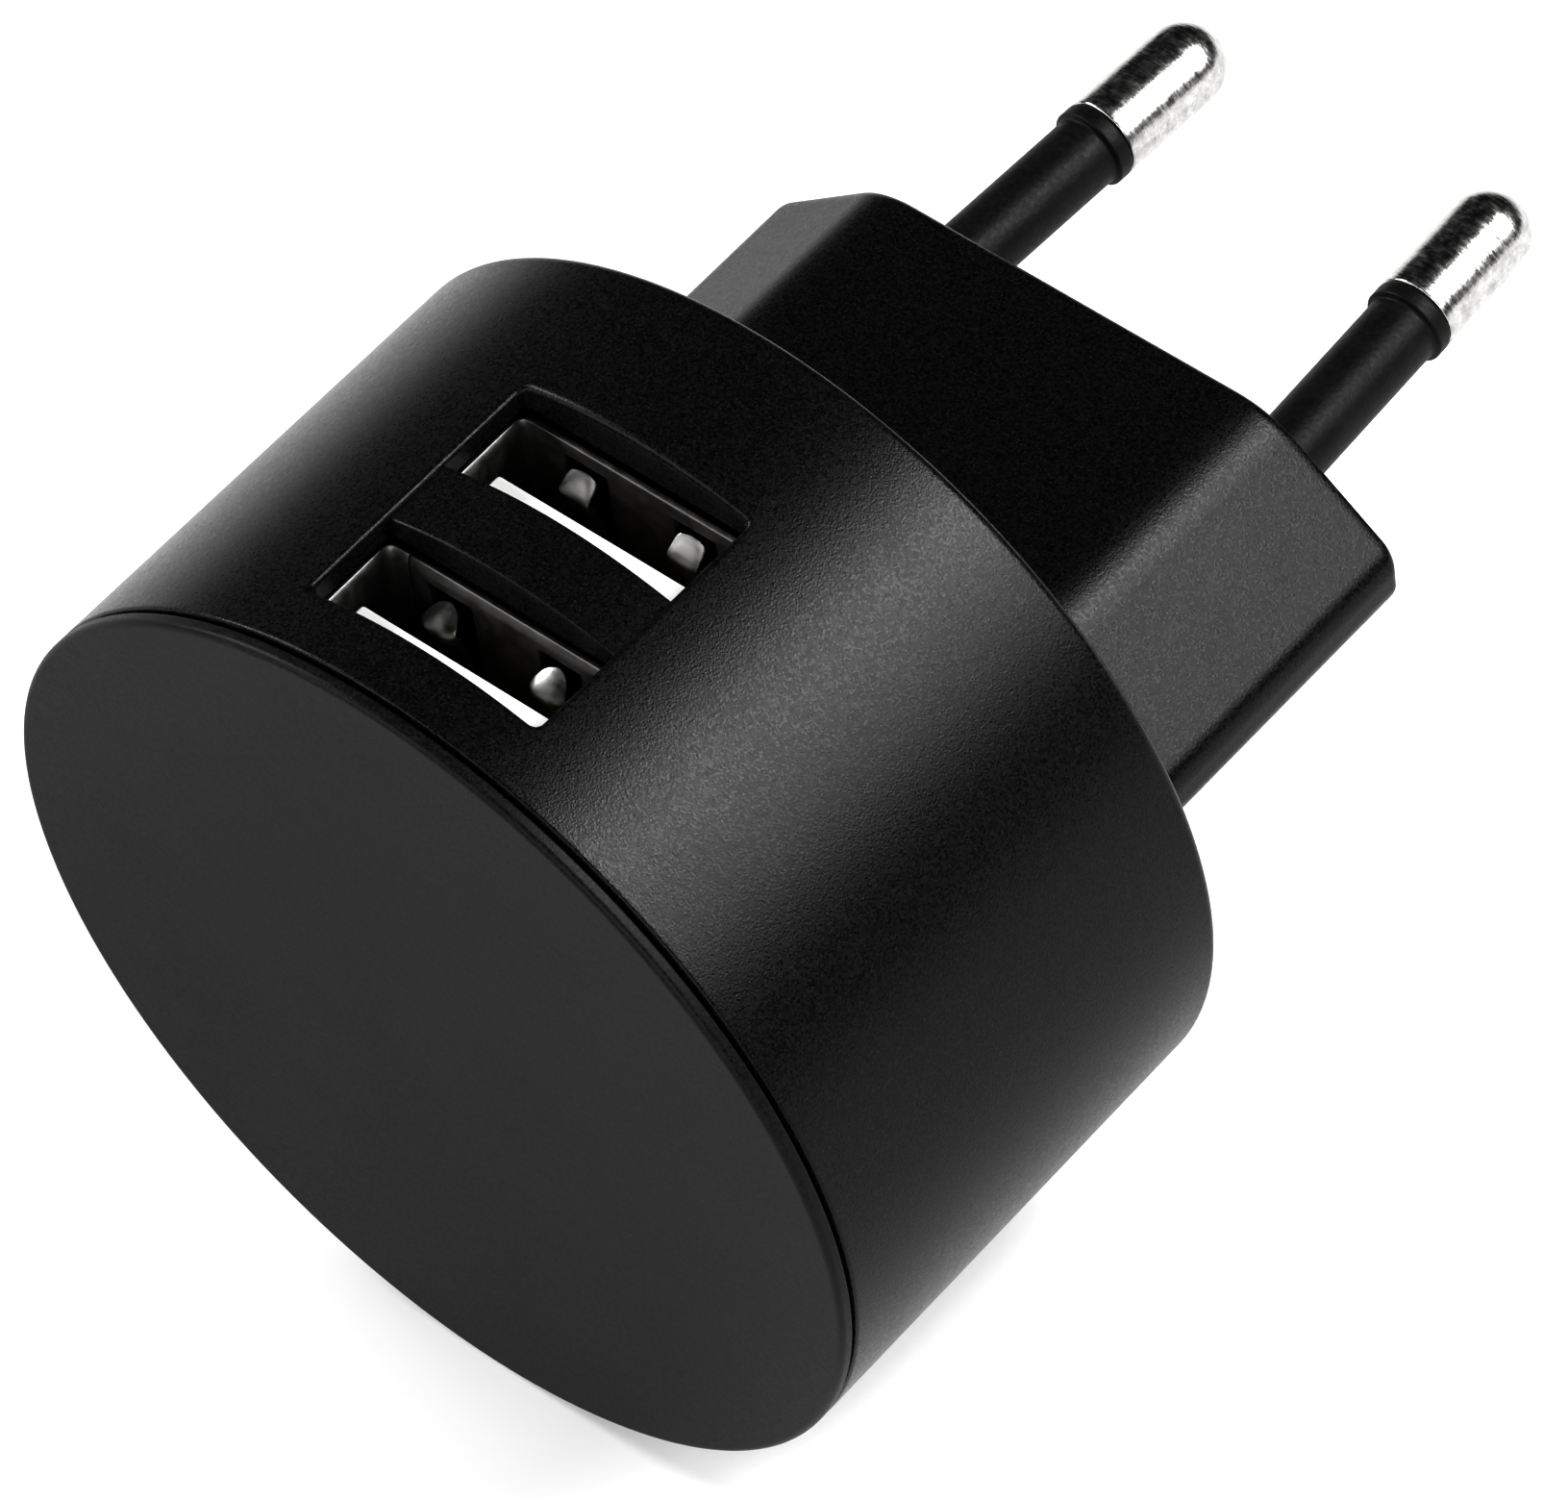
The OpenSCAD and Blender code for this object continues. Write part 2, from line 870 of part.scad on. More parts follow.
module filter_choke_core() {
  color([0.15, 0.15, 0.15])
    translate([chip_x, choke_y, board_top + part_gap]) {
      cylinder(h = choke_rim, r = choke_r, $fn = 64);
      translate([0, 0, choke_rim - eps])
        cylinder(h = choke_h - 2 * choke_rim + 2 * eps, r = choke_r / 2, $fn = 48);
      translate([0, 0, choke_h - choke_rim])
        cylinder(h = choke_rim, r = choke_r, $fn = 64);
    }
}

module filter_choke_winding() {
  lay_gap = 0.05;
  color([0.6, 0.3, 0.12])
    translate([chip_x, choke_y, board_top + part_gap + choke_rim + lay_gap])
      difference() {
        cylinder(h = choke_h - 2 * choke_rim - 2 * lay_gap, r = choke_r - choke_inset, $fn = 64);
        translate([0, 0, -1])
          cylinder(h = choke_h, r = choke_r / 2 + lay_gap, $fn = 48);
      }
}

housing_shell();
front_cover();
pin_left();
pin_right();
sleeve_left();
sleeve_right();
pin_leaf_left();
pin_leaf_right();
main_board();
socket_shell_rear();
socket_shell_front();
socket_tongue_rear();
socket_tongue_front();
contacts_rear();
contacts_front();
contact_tails_rear();
contact_tails_front();
grip_rear_plug_side();
grip_rear_cover_side();
grip_front_plug_side();
grip_front_cover_side();
transformer_core();
transformer_bobbin();
transformer_winding();
transformer_pins();
mains_capacitor_rear();
mains_capacitor_front();
output_capacitor();
fuse_resistor();
bridge_rectifier();
power_controller();
output_diode();
safety_capacitor();
filter_choke_core();
filter_choke_winding();
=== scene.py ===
import json

import bmesh
import bpy
import numpy as np
from mathutils import Matrix, Vector
from mathutils.geometry import delaunay_2d_cdt


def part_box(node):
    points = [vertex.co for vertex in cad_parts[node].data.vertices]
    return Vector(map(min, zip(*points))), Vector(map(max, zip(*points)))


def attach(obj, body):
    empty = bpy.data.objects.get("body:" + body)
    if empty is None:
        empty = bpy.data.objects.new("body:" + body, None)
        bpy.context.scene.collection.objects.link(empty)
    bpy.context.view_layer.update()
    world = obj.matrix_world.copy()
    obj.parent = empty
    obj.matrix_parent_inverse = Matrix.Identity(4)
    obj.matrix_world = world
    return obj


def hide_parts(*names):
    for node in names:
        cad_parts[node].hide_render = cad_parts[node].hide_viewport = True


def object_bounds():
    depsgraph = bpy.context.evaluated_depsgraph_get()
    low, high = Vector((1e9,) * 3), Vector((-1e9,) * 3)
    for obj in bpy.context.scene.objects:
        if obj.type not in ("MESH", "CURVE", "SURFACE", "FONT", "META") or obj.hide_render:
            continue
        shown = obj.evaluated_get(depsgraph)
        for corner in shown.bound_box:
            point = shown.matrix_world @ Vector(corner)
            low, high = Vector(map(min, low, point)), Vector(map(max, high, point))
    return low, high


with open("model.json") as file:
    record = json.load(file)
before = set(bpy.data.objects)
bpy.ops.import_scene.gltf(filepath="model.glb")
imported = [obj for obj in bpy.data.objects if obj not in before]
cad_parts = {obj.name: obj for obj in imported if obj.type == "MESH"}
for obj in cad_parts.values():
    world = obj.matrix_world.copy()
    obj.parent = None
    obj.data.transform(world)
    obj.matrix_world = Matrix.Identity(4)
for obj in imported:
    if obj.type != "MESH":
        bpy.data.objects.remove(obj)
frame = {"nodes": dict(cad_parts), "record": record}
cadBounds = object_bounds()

mm = 0.001            # every size below is in millimetres
mainBody = "charger"
meshing = dict(weld=0.002, sharpAngle=38, bevelAngle=40, bevelSteps=2)
print("frame loaded")


def gridSurface(points, wrapU=False, wrapV=False, keep=None):
    # quads between neighbouring stations of a surface P(u, v); keep marks the cells that stay
    rows, columns = points.shape[:2]
    index = np.arange(rows * columns).reshape(rows, columns)
    if wrapU:
        index = np.vstack([index, index[:1]])
    if wrapV:
        index = np.hstack([index, index[:, :1]])
    cells = np.stack([index[:-1, :-1], index[1:, :-1], index[1:, 1:], index[:-1, 1:]], -1)
    cells = cells.reshape(-1, 4) if keep is None else cells[keep]
    return points.reshape(-1, 3), cells


def roundedLine(points, radii, steps=6, closed=False, support=0.0):
    # each corner becomes an arc that touches both edges: centre = corner + bisector * r / sin(half angle);
    # support adds one more station on each straight, that far from the arc, so that flats stay flat
    corners = np.asarray(points, float)
    count = len(corners)
    made = []
    for i, radius in enumerate(np.broadcast_to(radii, count)):
        if radius <= 0 or (not closed and i in (0, count - 1)):
            made.append(corners[i][None])
            continue
        back = corners[i - 1] - corners[i]
        ahead = corners[(i + 1) % count] - corners[i]
        back, ahead = back / np.linalg.norm(back), ahead / np.linalg.norm(ahead)
        half = 0.5 * np.arccos(np.clip(back @ ahead, -1, 1))
        cut = radius / np.tan(half)
        centre = corners[i] + (back + ahead) / np.linalg.norm(back + ahead) * radius / np.sin(half)
        start, end = corners[i] + back * cut, corners[i] + ahead * cut
        turn = np.pi - 2 * half
        t = np.linspace(0, 1, steps + 1)[:, None]
        arc = np.sin((1 - t) * turn) * (start - centre) + np.sin(t * turn) * (end - centre)
        if support:
            made.append((start + back * support)[None])
        made.append(centre + arc / np.sin(turn))
        if support:
            made.append((end + ahead * support)[None])
    return np.vstack(made)


def smoothPath(points, count):
    # a cubic between each two points, whose end slopes follow the points before and after them
    p = np.asarray(points, float)
    p = np.vstack([2 * p[0] - p[1], p, 2 * p[-1] - p[-2]])
    t = np.linspace(0, len(p) - 3, count)
    k = np.minimum(t.astype(int), len(p) - 4)
    u = (t - k)[:, None]
    a, b, c, d = p[k], p[k + 1], p[k + 2], p[k + 3]
    square, cube = 2 * a - 5 * b + 4 * c - d, 3 * b - a - 3 * c + d
    return 0.5 * (2 * b + (c - a) * u + square * u ** 2 + cube * u ** 3)


def easeStep(value):
    # 3t^2 - 2t^3 between 0 and 1
    t = np.clip(value, 0, 1)
    return t * t * (3 - 2 * t)


def turnedSurface(profile, stations, origin, axis):
    # P(angle, s) = origin + axis * height(s) + radius(s) * (cos angle * e1 + sin angle * e2)
    axis = np.asarray(axis, float) / np.linalg.norm(axis)
    e1 = np.array([0.0, 0.0, 1.0])
    e2 = np.cross(axis, e1)
    angle = np.linspace(0, 2 * np.pi, stations, endpoint=False)
    around = np.cos(angle)[:, None] * e1 + np.sin(angle)[:, None] * e2
    radius, height = np.asarray(profile, float).T
    points = np.asarray(origin) + around[:, None] * radius[None, :, None] + axis * height[None, :, None]
    return gridSurface(points, wrapU=True)


def loftSurface(sections, capStart=False, capEnd=False):
    # closed outlines joined one after the other; a cap draws the last outline in to its middle
    points = np.stack(sections)
    first, last = [np.broadcast_to(points[[end]].mean(1, keepdims=True), points[:1].shape) for end in (0, -1)]
    if capStart:
        points = np.concatenate([first, points])
    if capEnd:
        points = np.concatenate([points, last])
    return gridSurface(points, wrapV=True)


def insideOutline(spots, outline):
    # a ray from each spot towards +x crosses the outline an odd number of times
    a, b = outline[None], np.roll(outline, -1, 0)[None]
    px, pz = spots[:, :1], spots[:, 1:]
    spans = (a[..., 1] > pz) != (b[..., 1] > pz)
    rise = np.where(spans, b[..., 1] - a[..., 1], 1)
    crossing = a[..., 0] + (pz - a[..., 1]) * (b[..., 0] - a[..., 0]) / rise
    return (spans & (px < crossing)).sum(1) % 2 == 1


def flatFill(outer, holes, y):
    # flat face at height y between an outer outline and its holes, all in x and z:
    # triangles over all the outlines' points, of which those inside a hole are dropped
    fillInside, tolerance = 1, 1e-7
    loops = [outer, *holes]
    flat = np.vstack(loops)
    edges, start = [], 0
    for loop in loops:
        index = np.arange(start, start + len(loop))
        edges += np.stack([index, np.roll(index, -1)], 1).tolist()
        start += len(loop)
    spots, _, faces, *_ = delaunay_2d_cdt(flat.tolist(), edges, [], fillInside, tolerance)
    spots, faces = np.array([tuple(s) for s in spots]), np.array(faces)
    middles = spots[faces].mean(1)
    inHole = np.any([insideOutline(middles, hole) for hole in holes], 0)
    faces = faces[insideOutline(middles, outer) & ~inHole]
    return np.stack([spots[:, 0], np.full(len(spots), y), spots[:, 1]], 1), faces


def makeMesh(name, parts, m=meshing):
    # all parts in one mesh: seams and poles merged, faces turned outwards, flats apart from curves
    faces, start = [], 0
    for vertices, cells in parts:
        faces += (cells + start).tolist()
        start += len(vertices)
    mesh = bpy.data.meshes.new(name)
    mesh.from_pydata((np.vstack([vertices for vertices, _ in parts]) * mm).tolist(), [], faces)
    work = bmesh.new()
    work.from_mesh(mesh)
    bmesh.ops.remove_doubles(work, verts=work.verts, dist=m["weld"] * mm)
    bmesh.ops.dissolve_degenerate(work, edges=work.edges, dist=m["weld"] * mm)
    bmesh.ops.recalc_face_normals(work, faces=work.faces)
    work.to_mesh(mesh)
    work.free()
    mesh.shade_smooth()
    mesh.set_sharp_from_angle(angle=np.radians(m["sharpAngle"]))
    return mesh


def addPiece(name, parts, finish, node, body=mainBody, sheet=None, soften=None):
    # the finished piece, which rides on its body and stands for its node;
    # sheet gives a surface its thickness, soften rounds the edges by that much
    piece = bpy.data.objects.new(name, makeMesh(name, parts))
    bpy.context.scene.collection.objects.link(piece)
    piece.data.materials.append(finish)
    if sheet:
        wall = piece.modifiers.new("sheet", "SOLIDIFY")
        wall.thickness, wall.offset, wall.use_even_offset = sheet * mm, 0, True
    if soften:
        edge = piece.modifiers.new("edges", "BEVEL")
        edge.width, edge.segments = soften * mm, meshing["bevelSteps"]
        edge.limit_method, edge.angle_limit = "ANGLE", np.radians(meshing["bevelAngle"])
    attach(piece, body)
    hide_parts(node)


class Wire:
    # one shader socket that adds and scales like a number
    def __init__(self, finish, socket):
        self.finish, self.socket = finish, socket

    def math(self, operation, other):
        return self.finish.add("ShaderNodeMath", {"operation": operation}, {0: self, 1: other})

    def __add__(self, other):
        return self.math("ADD", other)

    def __mul__(self, other):
        return self.math("MULTIPLY", other)

    __radd__, __rmul__ = __add__, __mul__

    def beside(self, output):
        # another output of the same node
        return Wire(self.finish, self.socket.node.outputs[output])


class Finish:
    # a material under construction: one method adds every node
    def __init__(self, name):
        self.material = bpy.data.materials.new(name)
        self.material.use_nodes = True
        self.tree = self.material.node_tree
        self.shader = self.tree.nodes["Principled BSDF"]

    def plug(self, node, inputs):
        for key, value in inputs.items():
            socket = node.inputs[key] if isinstance(key, int) else next(
                s for s in node.inputs if s.name == key and s.enabled)
            if isinstance(value, Wire):
                self.tree.links.new(value.socket, socket)
            else:
                socket.default_value = value

    def add(self, kind, settings=None, inputs=None, output=None):
        node = self.tree.nodes.new(kind)
        for key, value in (settings or {}).items():
            setattr(node, key, value)
        self.plug(node, inputs or {})
        socket = node.outputs[output] if output else next(s for s in node.outputs if s.enabled)
        return Wire(self, socket)

    def spot(self):
        # position on the piece in metres
        return self.add("ShaderNodeTexCoord", output="Object")

    def stretched(self, scale=(1, 1, 1), turn=(0, 0, 0)):
        # the same, scaled along each axis and turned: a pattern runs long where the scale is small
        return self.add("ShaderNodeMapping", {}, {"Vector": self.spot(), "Scale": scale, "Rotation": turn})

    def noise(self, grain, detail=2.0, roughness=0.5, spot=None):
        # noise whose blobs are about grain millimetres wide
        return self.add("ShaderNodeTexNoise", {}, {
            "Vector": spot or self.spot(), "Scale": 1 / (grain * mm), "Detail": detail,
            "Roughness": roughness})

    def blend(self, factor, first, second):
        return self.add("ShaderNodeMix", {"data_type": "RGBA"}, {"Factor": factor, "A": first, "B": second})

    def ramp(self, value, low, high, toLow=0.0, toHigh=1.0):
        # from toLow to toHigh while the value goes from low to high
        return self.add("ShaderNodeMapRange", {"clamp": True}, {
            "Value": value, "From Min": low, "From Max": high, "To Min": toLow, "To Max": toHigh})

    def colour(self, tone, dark, light):
        self.plug(self.shader, {"Base Color": self.blend(tone, dark, light)})

    def roughness(self, value, low, high, smooth, dull):
        self.plug(self.shader, {"Roughness": self.ramp(value, low, high, smooth, dull)})

    def bump(self, height, depth):
        # depth in millimetres for a height of 1
        normal = self.add("ShaderNodeBump", {}, {"Height": height, "Strength": 1.0, "Distance": depth * mm})
        self.plug(self.shader, {"Normal": normal})

    def done(self, **constants):
        # values that are the same all over, by socket name with _ for its spaces
        self.plug(self.shader, {key.replace("_", " "): value for key, value in constants.items()})
        return self.material


def grey(value, blue=0.0):
    return (value, value, value + blue, 1)


# darkest and lightest tone of the skin, tone of its painted glints (a lighter base colour standing in for
# highlights), roughness, cell size and depth of the skin in millimetres
sparkLook = dict(dark=0.0015, light=0.0085, paintedGlint=0.020, rough=0.29, grain=0.10, depth=0.012, gloss=0.20)
discLook = dict(dark=0.003, light=0.011, paintedGlint=0.014, rough=0.42, grain=0.10, depth=0.007, gloss=0.17)
cloudGrain = 6.0      # slow drift of the gloss over a moulding


def sparkPlastic(name, look):
    # moulded plastic with a spark-eroded skin: small rounded pits, and every few cells a painted glint, a
    # lighter base colour in the cell's middle that stands in for a highlight
    f = Finish(name)
    cells = f.add("ShaderNodeTexVoronoi", {"feature": "F1"}, {
        "Vector": f.spot(), "Scale": 1 / (look["grain"] * mm)}, output="Distance")
    chance = f.add("ShaderNodeTexWhiteNoise", {"noise_dimensions": "3D"}, {
        "Vector": cells.beside("Position")}, output="Value")
    coarse = f.noise(look["grain"] * 1.6, detail=3.0, roughness=0.6)
    cloud = f.noise(cloudGrain)
    tone = f.ramp(coarse * 0.6 + chance * 0.4, 0.3, 0.75)
    skin = f.blend(tone, grey(look["dark"]), grey(look["light"], 0.0004))
    # painted glint: a few cells, and only their middles, get a lighter base colour in place of a highlight
    paintedGlintMask = f.ramp(chance, 0.86, 0.97) * f.ramp(cells, 0.42, 0.2)    # few cells, and only their middles
    f.colour(paintedGlintMask, skin, grey(look["paintedGlint"], 0.0006))
    f.roughness(chance * 0.7 + cloud * 0.3, 0.15, 0.85, look["rough"] - 0.06, look["rough"] + 0.07)
    f.bump(chance * 0.12 + cells * 0.6 + coarse * 0.6, look["depth"])
    return f.done(IOR=1.46, Specular_IOR_Level=look["gloss"])


def platedPin(name):
    # nickel plating over drawn brass: faint turning marks around the pin, small dull spots
    f = Finish(name)
    spots = f.noise(0.5, detail=4.0, roughness=0.65)
    marks = f.noise(0.12, spot=f.stretched((0.15, 1.0, 0.15)))
    f.colour(f.ramp(spots, 0.35, 0.7), (0.36, 0.357, 0.35, 1), (0.62, 0.615, 0.605, 1))
    f.roughness(spots * 0.6 + marks * 0.4, 0.35, 0.65, 0.18, 0.34)
    f.bump(marks * 0.5 + spots * 0.5, 0.03)
    return f.done(Metallic=1.0)


def formedMetal(name, base, rough, stretch):
    # plated sheet or drawn wire: rolling lines one way, light clouding
    f = Finish(name)
    lines = f.noise(0.35, detail=3.0, spot=f.stretched(stretch))
    cloud = f.noise(1.2, detail=3.0)
    dark = tuple(c * 0.72 for c in base[:3]) + (1,)
    f.colour(f.ramp(lines * 0.5 + cloud * 0.5, 0.35, 0.65), dark, base)
    f.roughness(lines, 0.3, 0.7, rough - 0.06, rough + 0.1)
    f.bump(lines * 0.7 + cloud * 0.3, 0.01)
    return f.done(Metallic=1.0)


def mouldedPlastic(name, dark, light, rough, grain=0.4, depth=0.006, gloss=0.4):
    # smooth moulded plastic: a faint flow pattern in tone and gloss
    f = Finish(name)
    flow = f.noise(grain * 6, detail=3.0)
    skin = f.noise(grain, detail=3.0)
    f.colour(f.ramp(flow * 0.6 + skin * 0.4, 0.35, 0.65), dark, light)
    f.roughness(skin, 0.3, 0.7, rough - 0.05, rough + 0.07)
    f.bump(skin, depth)
    return f.done(IOR=1.48, Specular_IOR_Level=gloss)


def woundLayers(name, dark, light, pitch, rough, metal=0.0, turn=(0, 0, 0)):
    # wire or tape laid turn by turn: a wave along the winding's axis, whose scale of 1 makes a band
    # every 0.314 of a unit
    f = Finish(name)
    wave = f.add("ShaderNodeTexWave", {"wave_type": "BANDS", "bands_direction": "Z", "wave_profile": "SIN"}, {
        "Vector": f.stretched(turn=turn), "Scale": 0.314 / (pitch * mm), "Distortion": 0.4, "Detail": 1.0},
        output="Fac")
    mottle = f.noise(0.7)
    f.colour(f.ramp(wave * 0.7 + mottle * 0.3, 0.2, 0.8), dark, light)
    f.roughness(mottle, 0.3, 0.7, rough - 0.05, rough + 0.08)
    f.bump(wave, 0.05)
    return f.done(Metallic=metal)


def boardLaminate(name):
    # solder resist over glass cloth: a fine weave, darker lanes where copper runs
    f = Finish(name)
    cloth = f.add("ShaderNodeTexWave", {"wave_type": "BANDS", "bands_direction": "DIAGONAL"}, {
        "Vector": f.spot(), "Scale": 900.0, "Distortion": 0.6}, output="Fac")
    lanes = f.add("ShaderNodeTexBrick", {"offset": 0.37}, {
        "Vector": f.spot(), "Scale": 260.0, "Mortar Size": 0.05, "Brick Width": 0.9, "Row Height": 0.35},
        output="Fac")
    f.colour(f.ramp(lanes * 0.7 + cloth * 0.3, 0.0, 1.0), (0.012, 0.10, 0.035, 1), (0.02, 0.19, 0.06, 1))
    f.roughness(cloth, 0.0, 1.0, 0.28, 0.4)
    f.bump(lanes * 0.6 + cloth * 0.1, 0.03)
    return f.done(IOR=1.5)


print("finishes")
housingPlastic = sparkPlastic("housingPlastic", sparkLook)
coverPlastic = sparkPlastic("coverPlastic", discLook)
sleevePlastic = mouldedPlastic("sleevePlastic", grey(0.003), grey(0.008), 0.46, grain=0.22, depth=0.02,
                               gloss=0.2)
pinPlating = platedPin("pinPlating")
socketSteel = formedMetal("socketSteel", (0.27, 0.266, 0.26, 1), 0.44, (0.6, 1.0, 0.5))
springSteel = formedMetal("springSteel", (0.40, 0.395, 0.385, 1), 0.34, (0.5, 1.0, 1.0))
whiteInsulator = mouldedPlastic("whiteInsulator", (0.88, 0.88, 0.865, 1), (0.94, 0.94, 0.93, 1), 0.42)
contactGold = formedMetal("contactGold", (0.86, 0.62, 0.26, 1), 0.24, (1.0, 1.0, 0.2))


# plug pins, mirrored left and right; y = 0 is the plug face and the pins point to +y
pins = dict(
    pitch=19.0, tipPitch=17.2, length=19.5, radius=2.0, coreRadius=1.25,
    headLength=1.2, headRadius=2.3, tail=-9.6,
    sleeve=12.0, sleeveRadius=1.75, collar=1.6, flange=0.8, edge=0.12, fit=0.03,
    around=72,
)
pinLean = np.arctan((pins["pitch"] - pins["tipPitch"]) / 2 / pins["length"])


def pinMiddle(side, y):
    # x of the pin's axis at height y
    return side * (pins["pitch"] / 2 - y * np.tan(pinLean))


# barrel, rear wall and plug block, which are one moulding
housing = dict(
    frontGap=0.95,        # front edge of the barrel behind the cover's face
    draft=0.18,           # how much smaller the radius is at the rear
    length=24.15,         # barrel without the cover
    frontEdge=0.15, rearEdge=0.5, wall=1.6, rearWall=1.8,
    around=196,           # stations around the barrel outside the recess
    blockHalfWidth=17.6, blockHalfHeight=6.75, blockHalfFlat=10.6, blockHalfSide=1.15,
    blockRound=1.6, topRound=5.0, blockWall=1.7, endEdge=0.5,
    rootFillet=0.25, rootGap=0.1, leastRound=0.3, support=0.1,
    boreRadius=2.03, mouthRadius=2.1, mouthDepth=0.5, mouthFlat=0.3,
    bossRadius=3.3, bossEnd=-8.2, boreStations=64,
)

# window in the barrel's side, down to the ceiling that the sockets stand under
recess = dict(
    halfWidth=6.235, yLow=-40.24, yHigh=-26.79, corner=0.4, fillet=0.32, nearFillet=(0.25, 0.06),
    ceiling=20.8, lip=0.8,
    patchAngle=22.0, patchLow=-41.3, patchHigh=-25.7,    # region of the barrel that carries the recess
    cellsX=28, cellsY=28, cornerCells=3,
)

coverLow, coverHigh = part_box("front_cover")
barrelRadius = coverHigh.x / mm
barrelFront = coverLow.y / mm + housing["frontGap"]
barrelRear = barrelFront + housing["length"]
innerRadius = barrelRadius - housing["wall"]
cavityEnd = barrelRear - housing["rearWall"]


def skinRadius(y):
    # barrel radius with its moulding draft, linear along y
    return barrelRadius - housing["draft"] * (y - barrelFront) / housing["length"]


rearRadius = skinRadius(barrelRear)


def skinHeight(x, y):
    return np.sqrt(skinRadius(y) ** 2 - x ** 2)


def recessOutline(grow, r=recess):
    # rounded rectangle round the recess, grown outwards; four sides of cellsX and cellsY stations
    halfX, halfY = r["halfWidth"] + grow, (r["yHigh"] - r["yLow"]) / 2 + grow
    middle, radius, k = (r["yHigh"] + r["yLow"]) / 2, r["corner"] + grow, r["cornerCells"]

    def side(half, cells):
        bend = np.radians(np.linspace(45, 0, k + 1))
        arcS, arcD = -(half - radius) - radius * np.sin(bend), radius * (1 - np.cos(bend))
        straight = np.linspace(-(half - radius), half - radius, cells - 2 * k + 1)[1:-1]
        along = np.concatenate([arcS, straight, -arcS[::-1]])
        inward = np.concatenate([arcD, straight * 0, arcD[::-1]])
        return along[:-1], inward[:-1]

    sx, dx = side(halfX, r["cellsX"])
    sy, dy = side(halfY, r["cellsY"])
    x = np.concatenate([sx, halfX - dy, -sx, -halfX + dy])
    y = np.concatenate([middle - halfY + dx, middle + sy, middle + halfY - dx, middle - sy])
    return x, y


def patchStations(r=recess):
    # angles and y of the grid that the patch takes the place of
    return (np.radians(np.linspace(-r["patchAngle"], r["patchAngle"], r["cellsX"] + 1)),
            np.linspace(r["patchLow"], r["patchHigh"], r["cellsY"] + 1))


def patchOutline(r=recess):
    # angle and y of the patch's border, in the same order as the recess outline
    angle, y = patchStations()
    left, right = np.full(r["cellsY"], angle[0]), np.full(r["cellsY"], angle[-1])
    front, rear = np.full(r["cellsX"], y[0]), np.full(r["cellsX"], y[-1])
    return (np.concatenate([angle[:-1], right, angle[:0:-1], left]),
            np.concatenate([front, y[:-1], rear, y[:0:-1]]))


def recessPatch(r=recess):
    # rings from the patch's border over the edge fillet, down the wall and out to the inner skin
    angle, borderY = patchOutline()
    borderX = skinRadius(borderY) * np.sin(angle)
    nearX, nearY = recessOutline(r["fillet"] + r["nearFillet"][0])
    rings = []
    for share in (0, 0.3, 0.6, 0.85):
        x, y = borderX + (nearX - borderX) * share, borderY + (nearY - borderY) * share
        rings.append((x, y, skinHeight(x, y)))
    for grow in r["nearFillet"]:
        x, y = recessOutline(r["fillet"] + grow)
        rings.append((x, y, skinHeight(x, y)))
    for bend in np.radians(np.linspace(0, 90, 7)):
        x, y = recessOutline(r["fillet"] * (1 - np.sin(bend)))
        rings.append((x, y, skinHeight(x, y) - r["fillet"] * (1 - np.cos(bend))))
    x, y = recessOutline(0)
    top = skinHeight(x, y) - r["fillet"]
    for share in (0.05, 0.35, 0.7, 1):
        rings.append((x, y, top + (r["ceiling"] - top) * share))
    x, y = recessOutline(r["lip"])
    rings.append((x, y, np.full(len(x), r["ceiling"])))
    rings.append((innerRadius * np.sin(angle), borderY, innerRadius * np.cos(angle)))
    return gridSurface(np.stack([np.stack(ring, 1) for ring in rings]), wrapV=True)


def blockOutline(inset, h=housing):
    # eight-sided section drawn in by inset, its corners rounded; x and z
    width, height = h["blockHalfWidth"] - inset, h["blockHalfHeight"] - inset
    slope = (h["blockHalfHeight"] - h["blockHalfSide"]) / (h["blockHalfWidth"] - h["blockHalfFlat"])
    lean = np.hypot(1, slope)
    side = h["blockHalfSide"] + inset * (slope - lean + 1)
    flat = width - (height - side) / slope
    corners = [(width, -side), (width, side), (flat, height), (-flat, height),
               (-width, side), (-width, -side), (-flat, -height), (flat, -height)]
    # the two corners of each narrow side must not meet
    room = (side - 0.15) * np.tan(0.5 * np.arccos(-slope / lean))
    sideRound = min(max(h["blockRound"] - inset, h["leastRound"]), room)
    topRound = max(h["topRound"] - inset, h["leastRound"])
    radii = [sideRound, sideRound, topRound, topRound] * 2
    return roundedLine(corners, radii, steps=8, closed=True, support=0.12)


def atHeight(outline, y):
    return np.stack([outline[:, 0], np.full(len(outline), y), outline[:, 1]], 1)


def turnedGrid(angle, radius, y):
    # P(angle, s) = (radius(s) * sin angle, y(s), radius(s) * cos angle)
    radius = np.broadcast_to(radius, y.shape)
    return np.stack([np.sin(angle)[:, None] * radius, np.broadcast_to(y, (len(angle), len(y))),
                     np.cos(angle)[:, None] * radius], -1)


def beyondPatch(angle, y, first, r=recess):
    # the cells of a turned grid that lie outside the recess patch, whose cells start at station first
    keep = np.ones((len(angle), len(y) - 1), bool)
    keep[:r["cellsX"], first:first + r["cellsY"]] = False
    return keep


